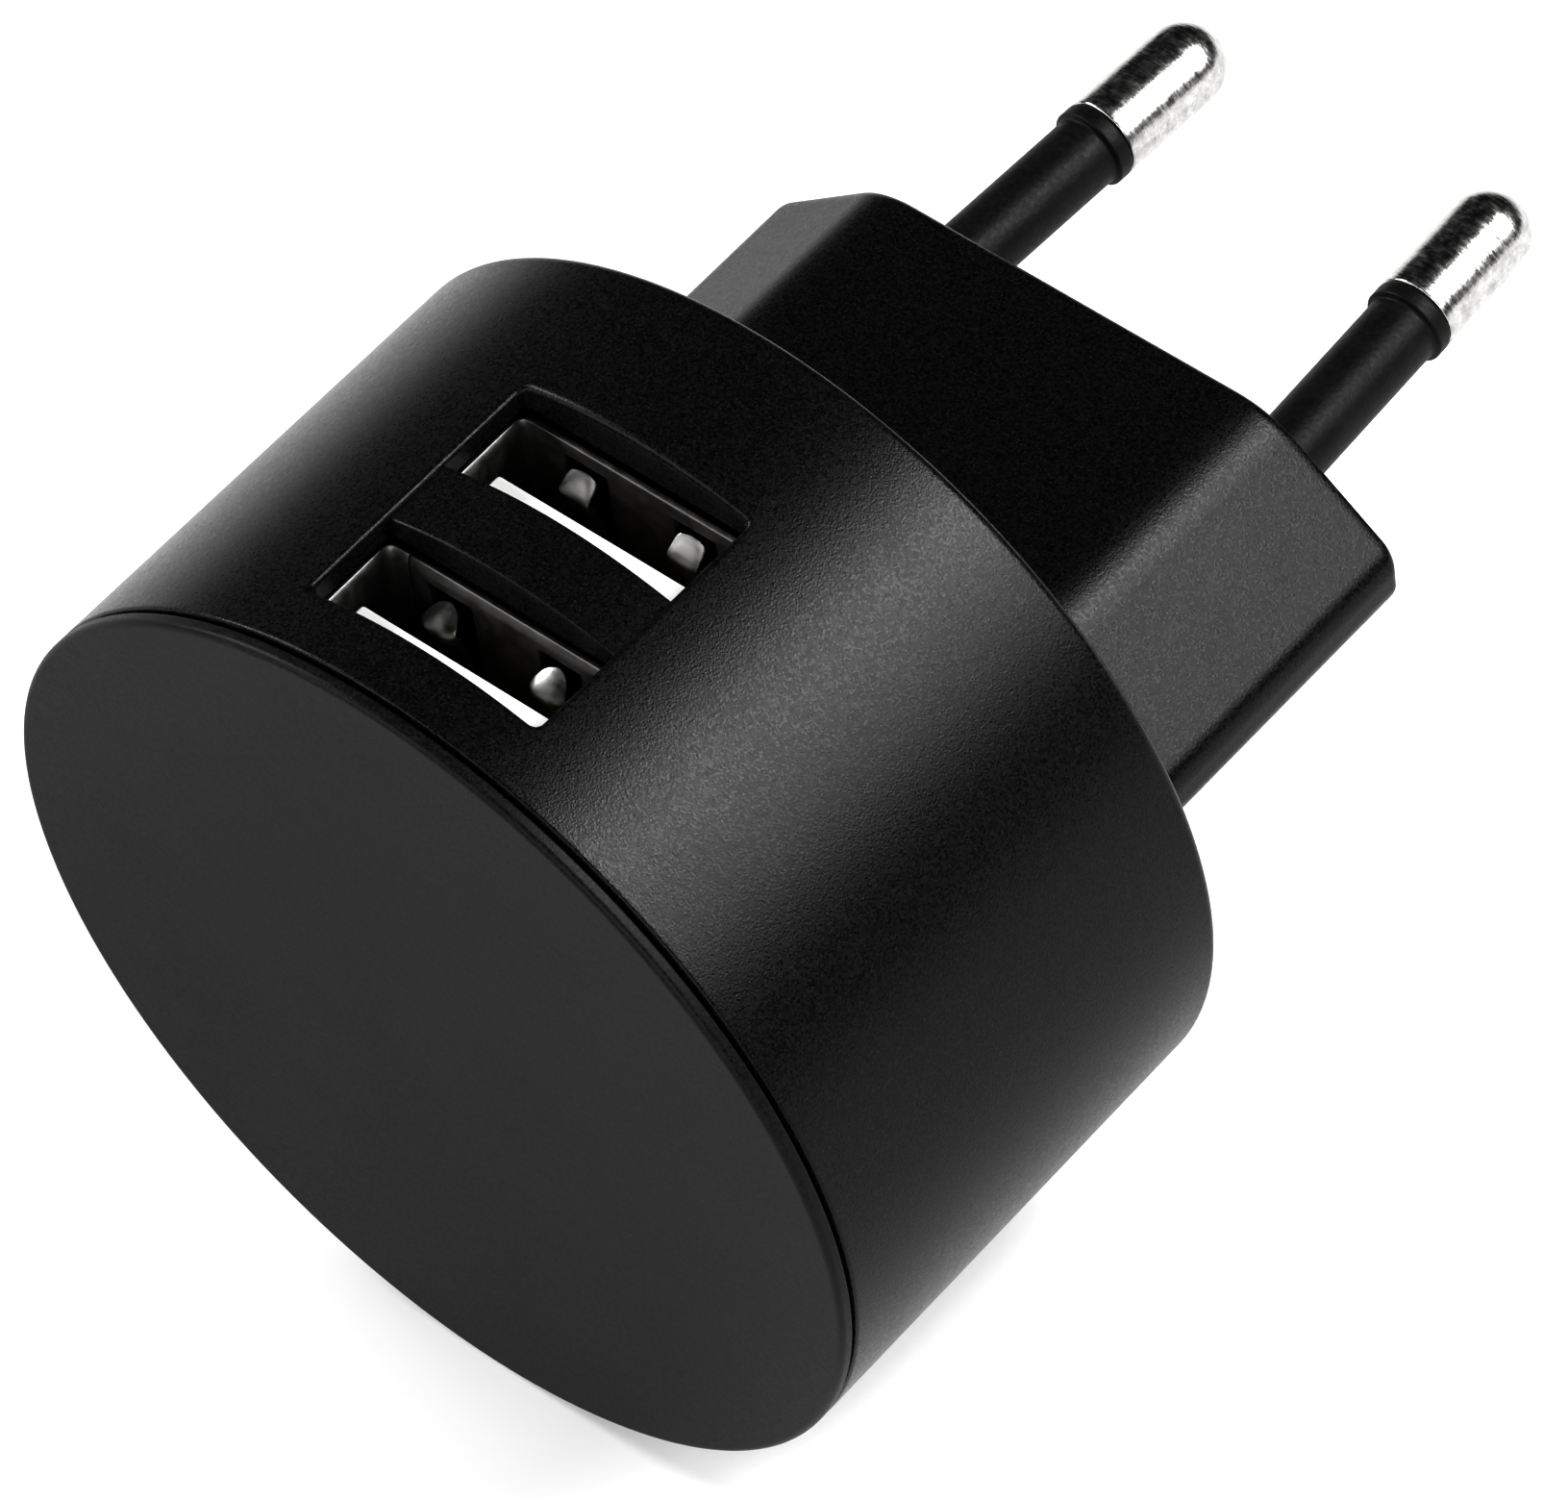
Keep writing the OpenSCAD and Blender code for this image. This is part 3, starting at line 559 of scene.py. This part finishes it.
def barrelParts(angle, h=housing, r=recess):
    # outer skin: front ring, front edge, side, rear edge; then the recess and the inner skin
    patchY = patchStations()[1]
    start, end = barrelFront + 1, barrelRear - 2
    front = roundedLine([(innerRadius, barrelFront), (skinRadius(barrelFront), barrelFront),
                         (skinRadius(start), start)], h["frontEdge"], steps=4, support=0.08)
    rear = roundedLine([(skinRadius(end), end), (rearRadius, barrelRear), (rearRadius - 1, barrelRear)],
                       h["rearEdge"], steps=8, support=h["support"])
    sideY = np.concatenate([patchY, np.linspace(r["patchHigh"], end, 8)[1:-1]])
    radius, y = np.vstack([front, np.stack([skinRadius(sideY), sideY], 1), rear]).T
    outer = gridSurface(turnedGrid(angle, radius, y), wrapU=True, keep=beyondPatch(angle, y, len(front)))
    innerY = np.concatenate([[barrelFront], patchY, np.linspace(r["patchHigh"], cavityEnd, 4)[1:]])
    inner = turnedGrid(angle, innerRadius, innerY)
    return [outer, recessPatch(), gridSurface(inner, wrapU=True, keep=beyondPatch(angle, innerY, 1))]


def blockParts(h=housing):
    # outlines carried to the end face, drawn out by fillet * (1 - sin t) at the root
    # and drawn in by edge * (1 - cos t) at the end
    root = np.radians(np.linspace(0, 90, 5))
    end = np.radians(np.linspace(0, 90, 9))
    insets = np.concatenate([[-h["rootFillet"] - h["rootGap"]], -h["rootFillet"] * (1 - np.sin(root)), [0, 0],
                             h["endEdge"] * (1 - np.cos(end)), [h["endEdge"] + h["support"]]])
    heights = np.concatenate([[barrelRear], barrelRear + h["rootFillet"] * (1 - np.cos(root)),
                              [barrelRear + 0.6, -h["endEdge"] - h["support"]],
                              -h["endEdge"] * (1 - np.sin(end)), [0]])
    inner = blockOutline(h["blockWall"])
    return [loftSurface([atHeight(blockOutline(i), y) for i, y in zip(insets, heights)]),
            loftSurface([atHeight(inner, cavityEnd), atHeight(inner, -h["blockWall"])])]


def endFaceParts(h=housing):
    # end face with the two pin bores, which lean with the pins, and the bosses behind it
    ring = np.linspace(0, 2 * np.pi, h["boreStations"], endpoint=False)
    ringXZ = np.stack([np.cos(ring), np.sin(ring)], 1)
    radius, y = roundedLine([(h["mouthRadius"] + h["mouthFlat"], 0), (h["mouthRadius"], 0),
                             (h["mouthRadius"], -h["mouthDepth"]), (h["boreRadius"], -h["mouthDepth"]),
                             (h["boreRadius"], h["bossEnd"]), (h["bossRadius"], h["bossEnd"]),
                             (h["bossRadius"], -h["blockWall"])], [0, 0.1, 0, 0, 0, 0, 0], steps=4).T
    parts, ends, backs = [], [], []
    for side in (-1, 1):
        middle = pinMiddle(side, y)
        points = np.stack([middle + radius * ringXZ[:, :1], np.broadcast_to(y, (len(ring), len(y))),
                           radius * ringXZ[:, 1:]], -1)
        parts.append(gridSurface(points, wrapU=True))
        ends.append(ringXZ * radius[0] + [middle[0], 0])
        backs.append(ringXZ * radius[-1] + [middle[-1], 0])
    parts.append(flatFill(blockOutline(h["endEdge"] + h["support"]), ends, 0.0))
    parts.append(flatFill(blockOutline(h["blockWall"]), backs, -h["blockWall"]))
    return parts


def housingParts(h=housing):
    patchAngles = patchStations()[0]
    rest = np.linspace(patchAngles[-1], 2 * np.pi + patchAngles[0], h["around"] + 1)[1:-1]
    angle = np.concatenate([patchAngles, rest])
    circle = np.stack([np.sin(angle), np.cos(angle)], 1)
    root, hollow = blockOutline(-h["rootFillet"] - h["rootGap"]), blockOutline(h["blockWall"])
    rearWall = [flatFill(circle * (rearRadius - 1), [root], barrelRear),
                flatFill(circle * innerRadius, [hollow], cavityEnd)]
    return barrelParts(angle) + rearWall + blockParts() + endFaceParts()


print("housing")
addPiece("housingMoulding", housingParts(), housingPlastic, "housing_shell")


# bar between the two sockets, sunk a little below the barrel's skin
divider = dict(yLow=-35.32, yHigh=-31.75, sink=0.32, edge=0.12, support=0.1, halfWidth=6.3, stations=49)


def dividerParts(d=divider):
    # section carried across the recess: z = sqrt((R - sink)^2 - x^2) - depth, down to the recess ceiling
    bend = np.radians(np.linspace(0, 90, 6))
    past = d["edge"] + d["support"]
    inward = np.concatenate([[0, 0, 0], d["edge"] * (1 - np.cos(bend)), [past]])
    y = np.concatenate([d["yLow"] + inward, d["yHigh"] - inward[::-1]])
    depth = np.concatenate([[0, 0, past], d["edge"] * (1 - np.sin(bend)), [0]])
    depth = np.concatenate([depth, depth[::-1]])
    low = np.zeros(len(y))          # how far a station lies toward the ceiling
    low[[0, -1]], low[[1, -2]] = 1, 0.5
    x = np.linspace(-d["halfWidth"], d["halfWidth"], d["stations"])
    top = np.sqrt((skinRadius(y.mean()) - d["sink"]) ** 2 - x ** 2)
    z = (top[:, None] - depth) * (1 - low) + recess["ceiling"] * low
    points = np.stack([np.broadcast_to(x[:, None], z.shape), np.broadcast_to(y, z.shape), z], -1)
    return [loftSurface(list(points), capStart=True, capEnd=True)]


addPiece("socketDivider", dividerParts(), housingPlastic, "housing_shell")


# front cover: a disc with a snap ring behind it
cover = dict(thickness=0.7, faceEdge=0.3, backEdge=0.1, spigotGap=0.1, plate=1.55,
             ringEnd=2.75, ringWall=1.0, ringEdge=0.15,
             bead=0.3, beadFrom=1.95, beadWidth=0.4, beadSlope=0.1, around=220)


def coverParts(c=cover):
    # profile turned about the barrel's axis: flat face, rounded rim, plate, ring with its snap bead
    spigot = innerRadius - c["spigotGap"]
    ringInside = spigot - c["ringWall"]
    beadEnd = c["beadFrom"] + c["beadWidth"]
    corners = [(0, 0), (barrelRadius, 0), (barrelRadius, c["thickness"]), (spigot, c["thickness"]),
               (spigot, c["beadFrom"]), (spigot + c["bead"], c["beadFrom"] + c["beadSlope"]),
               (spigot + c["bead"], beadEnd), (spigot, beadEnd + c["beadSlope"]), (spigot, c["ringEnd"]),
               (ringInside, c["ringEnd"]), (ringInside, c["plate"]), (0, c["plate"])]
    radii = [0, c["faceEdge"], c["backEdge"], 0, 0, 0, 0, 0, c["ringEdge"], c["ringEdge"], 0, 0]
    profile = roundedLine(corners, radii, steps=7, support=0.06)
    rings = np.linspace(0, barrelRadius - 1, 8)[1:-1]     # more stations on the flat face
    profile = np.vstack([profile[:1], np.stack([rings, rings * 0], 1), profile[1:]])
    return [turnedSurface(profile, c["around"], (0, coverLow.y / mm, 0), (0, 1, 0))]


print("cover")
addPiece("frontDisc", coverParts(), coverPlastic, "front_cover")


def pinAxis(side):
    # where the pin's axis meets the plug face, and its direction
    return np.array([side * pins["pitch"] / 2, 0, 0]), np.array([-side * np.sin(pinLean), np.cos(pinLean), 0])


def pinParts(side, p=pins):
    # turned metal: core under the sleeve, bare end and round nose
    origin, axis = pinAxis(side)
    tip = p["length"] / np.cos(pinLean)
    nose = np.radians(np.linspace(0, 90, 15))
    headEnd = p["tail"] + p["headLength"]
    body = roundedLine([(0, p["tail"]), (p["headRadius"], p["tail"]), (p["headRadius"], headEnd),
                        (p["coreRadius"], headEnd), (p["coreRadius"], p["sleeve"]),
                        (p["radius"], p["sleeve"]), (p["radius"], tip - p["radius"] - 0.1)],
                       [0, 0.15, 0.15, 0, 0, p["edge"], 0], steps=5, support=0.06)
    dome = np.stack([p["radius"] * np.cos(nose), tip - p["radius"] * (1 - np.sin(nose))], 1)
    return [turnedSurface(np.vstack([body, dome]), p["around"], origin, axis)]


def sleeveParts(side, p=pins):
    # turned sleeve round the core: collar at the block, waist, flange at the bare end
    origin, axis = pinAxis(side)
    bore, back = p["coreRadius"] + p["fit"], p["tail"] + p["headLength"] + p["fit"]
    top = p["sleeve"] - p["fit"]
    flange = top - p["flange"]
    corners = [(bore, back), (p["radius"], back), (p["radius"], p["collar"]),
               (p["sleeveRadius"], p["collar"] + 0.15), (p["sleeveRadius"], flange - 0.1),
               (p["radius"], flange), (p["radius"], top), (bore, top), (bore, back)]
    profile = roundedLine(corners, [0, 0.1, 0.12, 0.15, 0.12, 0.1, 0.15, 0, 0], steps=5, support=0.04)
    return [turnedSurface(profile, p["around"], origin, axis)]


print("pins")
for side, hand in ((-1, "left"), (1, "right")):
    addPiece(f"pinMetal_{hand}", pinParts(side), pinPlating, f"pin_{hand}")
    addPiece(f"pinSleeve_{hand}", sleeveParts(side), sleevePlastic, f"sleeve_{hand}")


# formed sheet shells, with an opening in each long wall for every spring
sockets = dict(
    innerWidth=12.5, innerHeight=5.12, sheet=0.3, corner=0.7, sideFlare=0.14, seamHalf=0.05,
    openings=(-3.0, 3.0), openingHalf=1.18, openingLow=7.9, openingHigh=0.87, legHalf=1.0,
)
# what differs between the two: rim flare, seam beside the openings, outline and bulge of the spring heads
socketLooks = {
    "rear": dict(flare=0.0, seam=None, headPower=6.0, dome=0.05, domePower=6, headHalf=0.8),
    "front": dict(flare=0.18, seam=-5.25, headPower=2.2, dome=0.3, domePower=4, headHalf=0.88),
}


def socketPlace(which):
    # middle of the socket along y, and height of its mouth
    low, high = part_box(f"socket_shell_{which}")
    return (low.y + high.y) / 2 / mm, high.z / mm


def shellOutline(seam, s=sockets):
    # x and y once round the rounded rectangle, with stations at the openings' and the seam's edges
    halfX, halfY = (s["innerWidth"] + s["sheet"]) / 2, (s["innerHeight"] + s["sheet"]) / 2
    radius = s["corner"] - s["sheet"] / 2
    breaks = [o + k * s["openingHalf"] for o in s["openings"] for k in (-1, -0.33, 0.33, 1)]
    if seam:
        breaks += [seam - s["seamHalf"], seam + s["seamHalf"]]
    longX = sorted(set(np.round(breaks + [-5.7, 0, 5.7], 4)))
    shortY = np.array([1.2, 0, -1.2])
    bend = np.radians(np.linspace(0, 90, 6))
    right, rear = halfX - radius + radius * np.sin(bend), halfY - radius + radius * np.cos(bend)
    # plug-side wall, corner, right wall, corner, cover-side wall and round again
    x = np.concatenate([longX, right, [halfX] * 3, right[::-1],
                        longX[::-1], -right, [-halfX] * 3, -right[::-1]])
    y = np.concatenate([[halfY] * len(longX), rear, shortY, -rear[::-1],
                        [-halfY] * len(longX), -rear, -shortY, rear[::-1]])
    onWall = np.abs(np.abs(y) - halfY) < 1e-6
    return x, y, onWall & np.roll(onWall, -1)


def shellParts(which, s=sockets):
    # sheet bent round a rounded rectangle: P(around, z); cells at the spring openings are left out
    middle, mouth = socketPlace(which)
    seam = socketLooks[which]["seam"]
    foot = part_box(f"socket_shell_{which}")[0].z / mm
    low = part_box(f"socket_tongue_{which}")[0].z / mm - 0.05
    x, y, onLong = shellOutline(seam)
    zLow, zHigh = mouth - s["openingLow"], mouth - s["openingHigh"]
    z = np.concatenate([[low, low + 2], np.linspace(zLow, zHigh, 7), np.linspace(zHigh, mouth, 6)[1:]])
    # the rims lean out over their last half millimetre, the rear one and the left one
    flare = socketLooks[which]["flare"] * easeStep((z - mouth + 0.5) / 0.5) ** 2
    spread = s["sideFlare"] * easeStep((z - mouth + 0.35) / 0.35) ** 2
    points = np.stack([x[:, None] - spread * easeStep((-x[:, None] - 5.8) / 0.4),
                       middle + y[:, None] + flare * easeStep((y[:, None] - 1.5) / 1.0),
                       np.broadcast_to(z, (len(x), len(z)))], -1)
    midX, midZ = (x + np.roll(x, -1)) / 2, (z[1:] + z[:-1]) / 2
    inColumn = onLong & (np.min(np.abs(midX[:, None] - s["openings"]), 1) < s["openingHalf"])
    hole = inColumn[:, None] & (midZ > zLow) & (midZ < zHigh)
    if seam:
        slit = onLong & (y > 0) & (np.abs(midX - seam) < s["seamHalf"])
        hole |= slit[:, None] & (midZ > zLow)
    parts = [gridSurface(points, wrapU=True, keep=~hole)]
    # soldered legs in the middle of the short walls
    legY, legZ = np.linspace(-s["legHalf"], s["legHalf"], 4)[:, None], np.linspace(foot, low, 3)
    for side in (-1, 1):
        legX = np.full((4, 3), side * (s["innerWidth"] + s["sheet"]) / 2)
        parts.append(gridSurface(np.stack([legX, middle + legY + 0 * legX, legZ + 0 * legX], -1)))
    return parts


# side view of a spring as distance from the wall and height above the root, and half its width
gripShape = dict(
    coverSide=[(0, 0), (0.02, 1.2), (0.16, 3.4), (0.38, 4.8), (0.34, 5.3), (0.05, 6.55)],
    plugSide=[(0, 0), (0.04, 1.2), (0.26, 3.6), (0.78, 5.1), (0.98, 5.62), (0.96, 5.84), (0.62, 6.12),
              (0.14, 6.45)],
    half=0.8, sheet=0.25, root=7.8, gap=0.02, coverHeadPower=2.6,
)


def gripParts(which, hand, g=gripShape):
    # strip carried along its side view: x = middle + half(t) * s, y = wall - bend(t), z = root + rise(t);
    # the head narrows as half * (1 - t^power)^(1/power) and bulges by the dome
    middle, mouth = socketPlace(which)
    look = dict(socketLooks[which])
    if hand == "coverSide":
        look.update(headPower=g["coverHeadPower"], dome=0, headHalf=g["half"])
    out = 1 if hand == "plugSide" else -1
    head, power = look["headHalf"], look["headPower"]
    bend, rise = smoothPath(g[hand], 41).T[..., None]
    neck = rise[-1] - head
    along = np.clip((rise - neck) / head, 0, 0.9995)
    widening = g["half"] + (head - g["half"]) * easeStep((rise - neck + 2 * head) / head)
    half = np.where(rise < neck, widening, head * (1 - along ** power) ** (1 / power))
    x = half * np.linspace(-1, 1, 17)
    reach = np.hypot(x / head, (rise - neck) / head)
    dome = look["dome"] * (1 - np.clip(reach, 0, 1) ** look["domePower"])
    wall = sockets["innerHeight"] / 2 + g["gap"] + g["sheet"] / 2
    y = middle + out * (wall - bend - dome)
    z = mouth - g["root"] + rise + 0 * x
    return [gridSurface(np.stack([x + opening, y, z], -1)) for opening in sockets["openings"]]


# white insulator: a blade with a groove for each contact, on a base that fills the shell
tongue = dict(width=11.1, thickness=1.84, back=0.7, sink=0.65, edge=0.12, cornerRound=0.144,
              grooves=(-3.5, -1, 1, 3.5), grooveHalf=0.65, grooveDeep=0.75, grooveStop=0.5, lead=0.03,
              floorIn=0.3,
              baseTop=9.9, baseSide=0.28, baseFace=0.08, baseRound=0.4, bladeSink=0.4)


def tongueParts(which, t=tongue):
    # blade: outline with four grooves in its contact side, their depth a function of z; base: rounded box
    middle, mouth = socketPlace(which)
    backY = middle - sockets["innerHeight"] / 2 + t["back"]
    faceY = backY + t["thickness"]
    half = t["width"] / 2
    top = mouth - t["sink"]
    body = roundedLine([(-half, backY), (half, backY), (half, faceY), (-half, faceY)], t["cornerRound"],
                       steps=4, closed=True, support=0.05)
    onFace = np.flatnonzero((body[:, 1] > faceY - 1e-9) & (body[:, 0] > 0))
    body = np.roll(body, -onFace.max() - 1, 0)       # the grooves come between its last point and its first
    wall = t["grooveHalf"] + np.array([t["lead"], 0, 0, 0, -t["floorIn"]])
    fall = np.array([0, 0, 0.5, 1, 1])
    notchX = np.array(t["grooves"])[::-1, None] + np.concatenate([wall, -wall[::-1]])
    notch = np.stack([notchX.ravel(), np.full(notchX.size, faceY)], 1)
    outline = np.vstack([notch, body])
    deep = np.zeros(len(outline))
    deep[:len(notch)] = t["grooveDeep"] * np.tile(np.concatenate([fall, fall[::-1]]), len(t["grooves"]))
    bend = np.radians(np.linspace(0, 90, 5))
    grooveEnd = top - t["grooveStop"]
    straight = [t["baseTop"] - t["bladeSink"], grooveEnd, grooveEnd + 0.01, top - t["edge"] - 0.05]
    heights = np.concatenate([straight, top - t["edge"] * (1 - np.sin(bend))])
    insets = np.concatenate([np.zeros(4), t["edge"] * (1 - np.cos(bend))])
    centre = np.array([0, (backY + faceY) / 2])
    size = np.array([half, t["thickness"] / 2])
    sections = []
    for z, inset in zip(heights, insets):
        flat = centre + (outline - centre) * (1 - inset / size)
        flat[:, 1] -= deep * (z <= grooveEnd)
        sections.append(np.column_stack([flat, np.full(len(flat), z)]))
    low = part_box(f"socket_tongue_{which}")[0].z / mm
    baseX, baseY = sockets["innerWidth"] / 2 - t["baseSide"], sockets["innerHeight"] / 2 - t["baseFace"]
    base = roundedLine([(-baseX, middle - baseY), (baseX, middle - baseY), (baseX, middle + baseY),
                        (-baseX, middle + baseY)], t["baseRound"], steps=5, closed=True, support=0.05)
    block = [np.column_stack([base, np.full(len(base), z)]) for z in (low, t["baseTop"])]
    return [loftSurface(part, capStart=True, capEnd=True) for part in (sections, block)]


# side view of the contact leaves, measured from the tongue's face
contact = dict(half=0.5, low=-0.3, lift=0.75, knee=0.72, sheet=0.2, tipLift=0.1, tipBelow=1.0,
               tipLength=0.5, tipNarrow=0.4)


def contactParts(which, c=contact, t=tongue):
    # four sprung leaves: y and z follow one curve from the base to the tip, bowed past the tongue's face
    middle, mouth = socketPlace(which)
    faceY = middle - sockets["innerHeight"] / 2 + t["back"] + t["thickness"]
    start, end = t["baseTop"], mouth - t["sink"] - c["tipBelow"]
    knee = start + (end - start) * c["knee"]
    path = smoothPath([(faceY + c["low"], start), (faceY - 0.1, start + (knee - start) * 0.45),
                       (faceY + c["lift"] * 0.72, knee - 0.9), (faceY + c["lift"] - 0.1, knee),
                       (faceY + c["lift"] * 0.6, knee + 0.8), (faceY + c["tipLift"], end)], 33)
    y, z = path.T[..., None]
    nearTip = np.clip((z - end + c["tipLength"]) / c["tipLength"], 0, 0.999)
    x = c["half"] * (1 - c["tipNarrow"] * nearTip ** 2) * np.linspace(-1, 1, 5)
    return [gridSurface(np.stack([x + groove, y + 0 * x, z + 0 * x], -1)) for groove in t["grooves"]]


print("sockets")
for which in ("rear", "front"):
    addPiece(f"socketShell_{which}", shellParts(which), socketSteel,
             f"socket_shell_{which}", sheet=sockets["sheet"], soften=0.05)
    addPiece(f"socketTongue_{which}", tongueParts(which), whiteInsulator,
             f"socket_tongue_{which}")
    for hand, nodeHand in (("plugSide", "plug_side"), ("coverSide", "cover_side")):
        node = f"grip_{which}_{nodeHand}"
        addPiece(f"gripSprings_{which}_{hand}", gripParts(which, hand), springSteel, node,
                 body=node, sheet=gripShape["sheet"], soften=0.1)
    node = f"contacts_{which}"
    addPiece(f"contactLeaves_{which}", contactParts(which), contactGold, node,
             body=node, sheet=contact["sheet"], soften=0.03)


# finishes of the parts inside, which keep their meshes, by material slot
insideFinishes = {
    "board_laminate": boardLaminate("boardLaminate"),
    "spring_brass": formedMetal("springBrass", (0.72, 0.50, 0.20, 1), 0.3, (1.0, 0.2, 1.0)),
    "contact_gold": formedMetal("tailGold", (0.80, 0.66, 0.40, 1), 0.3, (1.0, 1.0, 0.3)),
    "ferrite": mouldedPlastic("ferrite", grey(0.022), grey(0.045, 0.003), 0.55, grain=0.25, depth=0.02),
    "bobbin_plastic": mouldedPlastic("bobbinPlastic", grey(0.012), grey(0.02), 0.42),
    "winding_tape": woundLayers("windingTape", (0.52, 0.36, 0.03, 1), (0.78, 0.60, 0.07, 1), 1.1, 0.28),
    "tinned_wire": formedMetal("tinnedWire", (0.62, 0.61, 0.59, 1), 0.38, (1.0, 1.0, 0.4)),
    "capacitor_sleeve": woundLayers("capacitorSleeve", (0.01, 0.012, 0.035, 1), (0.02, 0.024, 0.06, 1), 3.4,
                                    0.3),
    "resistor_coat": woundLayers("resistorCoat", (0.05, 0.20, 0.11, 1), (0.11, 0.33, 0.19, 1), 1.6, 0.35,
                                 turn=(np.pi / 2, 0, 0)),
    "chip_plastic": mouldedPlastic("chipPlastic", grey(0.012), grey(0.022), 0.6, grain=0.15, depth=0.015),
    "safety_coat": mouldedPlastic("safetyCoat", (0.03, 0.12, 0.42, 1), (0.05, 0.19, 0.55, 1), 0.3, grain=0.8,
                                  depth=0.05),
    "copper_wire": woundLayers("copperWire", (0.32, 0.12, 0.035, 1), (0.62, 0.28, 0.10, 1), 0.32, 0.3,
                               metal=1.0),
}
for part in frame["record"]["subparts"]:
    node = frame["nodes"][part["node"]]
    if node.hide_render:        # a piece above stands for it
        continue
    node.data.materials.clear()
    node.data.materials.append(insideFinishes[part["material_slot"]])
print("inside parts")


# metres from here on; the camera's own axes are given as directions in the charger's frame
studio = dict(
    floorSize=3.0, floorGrey=0.85,
    camera=(0.22388, -0.22722, 0.37301), lens=256.14,
    right=(0.75882, 0.64375, -0.09889),
    down=(0.45861, -0.63594, -0.62069),
    away=(-0.46246, 0.42564, -0.77779),
    worldGrey=0.01, exposure=0.0, gamma=0.7,
    lightsAim=(0, -0.02, 0),
)
# direction, distance, size and power of each soft box
studioLights = dict(
    backRightHigh=((0.42, 0.43, 0.80), 0.5, 0.16, 2.0),
    backRightMiddle=((0.57, 0.43, 0.70), 0.5, 0.16, 0.9),
    backRightLow=((0.72, 0.43, 0.54), 0.5, 0.16, 1.0),
    leftBox=((-0.85, -0.1, 0.55), 0.7, 0.3, 4.5),
    frontLeftBox=((-0.5, -0.75, 0.45), 0.8, 0.5, 3.6),
    frontBox=((0.1, -0.85, 0.5), 0.8, 0.5, 2.3),
    frontRightBox=((0.6, -0.7, 0.4), 0.8, 0.5, 4.0),
)


def softLight(name, direction, distance, size, power):
    # square soft box that faces the charger from that direction
    lamp = bpy.data.lights.new(name, "AREA")
    lamp.shape, lamp.size, lamp.energy = "SQUARE", size, power
    holder = bpy.data.objects.new(name, lamp)
    bpy.context.scene.collection.objects.link(holder)
    toLight = Vector(direction).normalized()
    holder.location = Vector(studio["lightsAim"]) + toLight * distance
    holder.rotation_euler = toLight.to_track_quat("Z", "Y").to_euler()


def addFloor(s=studio):
    # one square under the charger's lowest point
    low, half = cadBounds[0][2], s["floorSize"] / 2
    corners = [(-half, -half, low), (half, -half, low), (half, half, low), (-half, half, low)]
    mesh = bpy.data.meshes.new("paleFloor")
    mesh.from_pydata(corners, [], [(0, 1, 2, 3)])
    floor = bpy.data.objects.new("paleFloor", mesh)
    bpy.context.scene.collection.objects.link(floor)
    finish = Finish("paleFloor").done(Base_Color=grey(s["floorGrey"]), Roughness=0.9, Specular_IOR_Level=0.1)
    floor.data.materials.append(finish)


def addCamera(s=studio):
    lens = bpy.data.cameras.new("mainView")
    lens.sensor_fit, lens.sensor_width, lens.lens = "HORIZONTAL", 36.0, s["lens"]
    lens.clip_start, lens.clip_end = 0.01, 20.0
    view = bpy.data.objects.new("mainView", lens)
    bpy.context.scene.collection.objects.link(view)
    axes = np.array([s["right"], s["down"], s["away"]]) * [[1], [-1], [-1]]     # right, up and back
    place = np.eye(4)
    place[:3, :3], place[:3, 3] = axes.T, s["camera"]
    view.matrix_world = Matrix(place.tolist())
    bpy.context.scene.camera = view


print("studio")
addFloor()
addCamera()
for name, setting in studioLights.items():
    softLight(name, *setting)
world = bpy.data.worlds.new("paleRoom")
world.use_nodes = True
world.node_tree.nodes["Background"].inputs["Color"].default_value = grey(1.0)
world.node_tree.nodes["Background"].inputs["Strength"].default_value = studio["worldGrey"]
bpy.context.scene.world = world
tones = bpy.context.scene.view_settings
tones.view_transform, tones.look = "Standard", "None"
tones.exposure, tones.gamma = studio["exposure"], studio["gamma"]
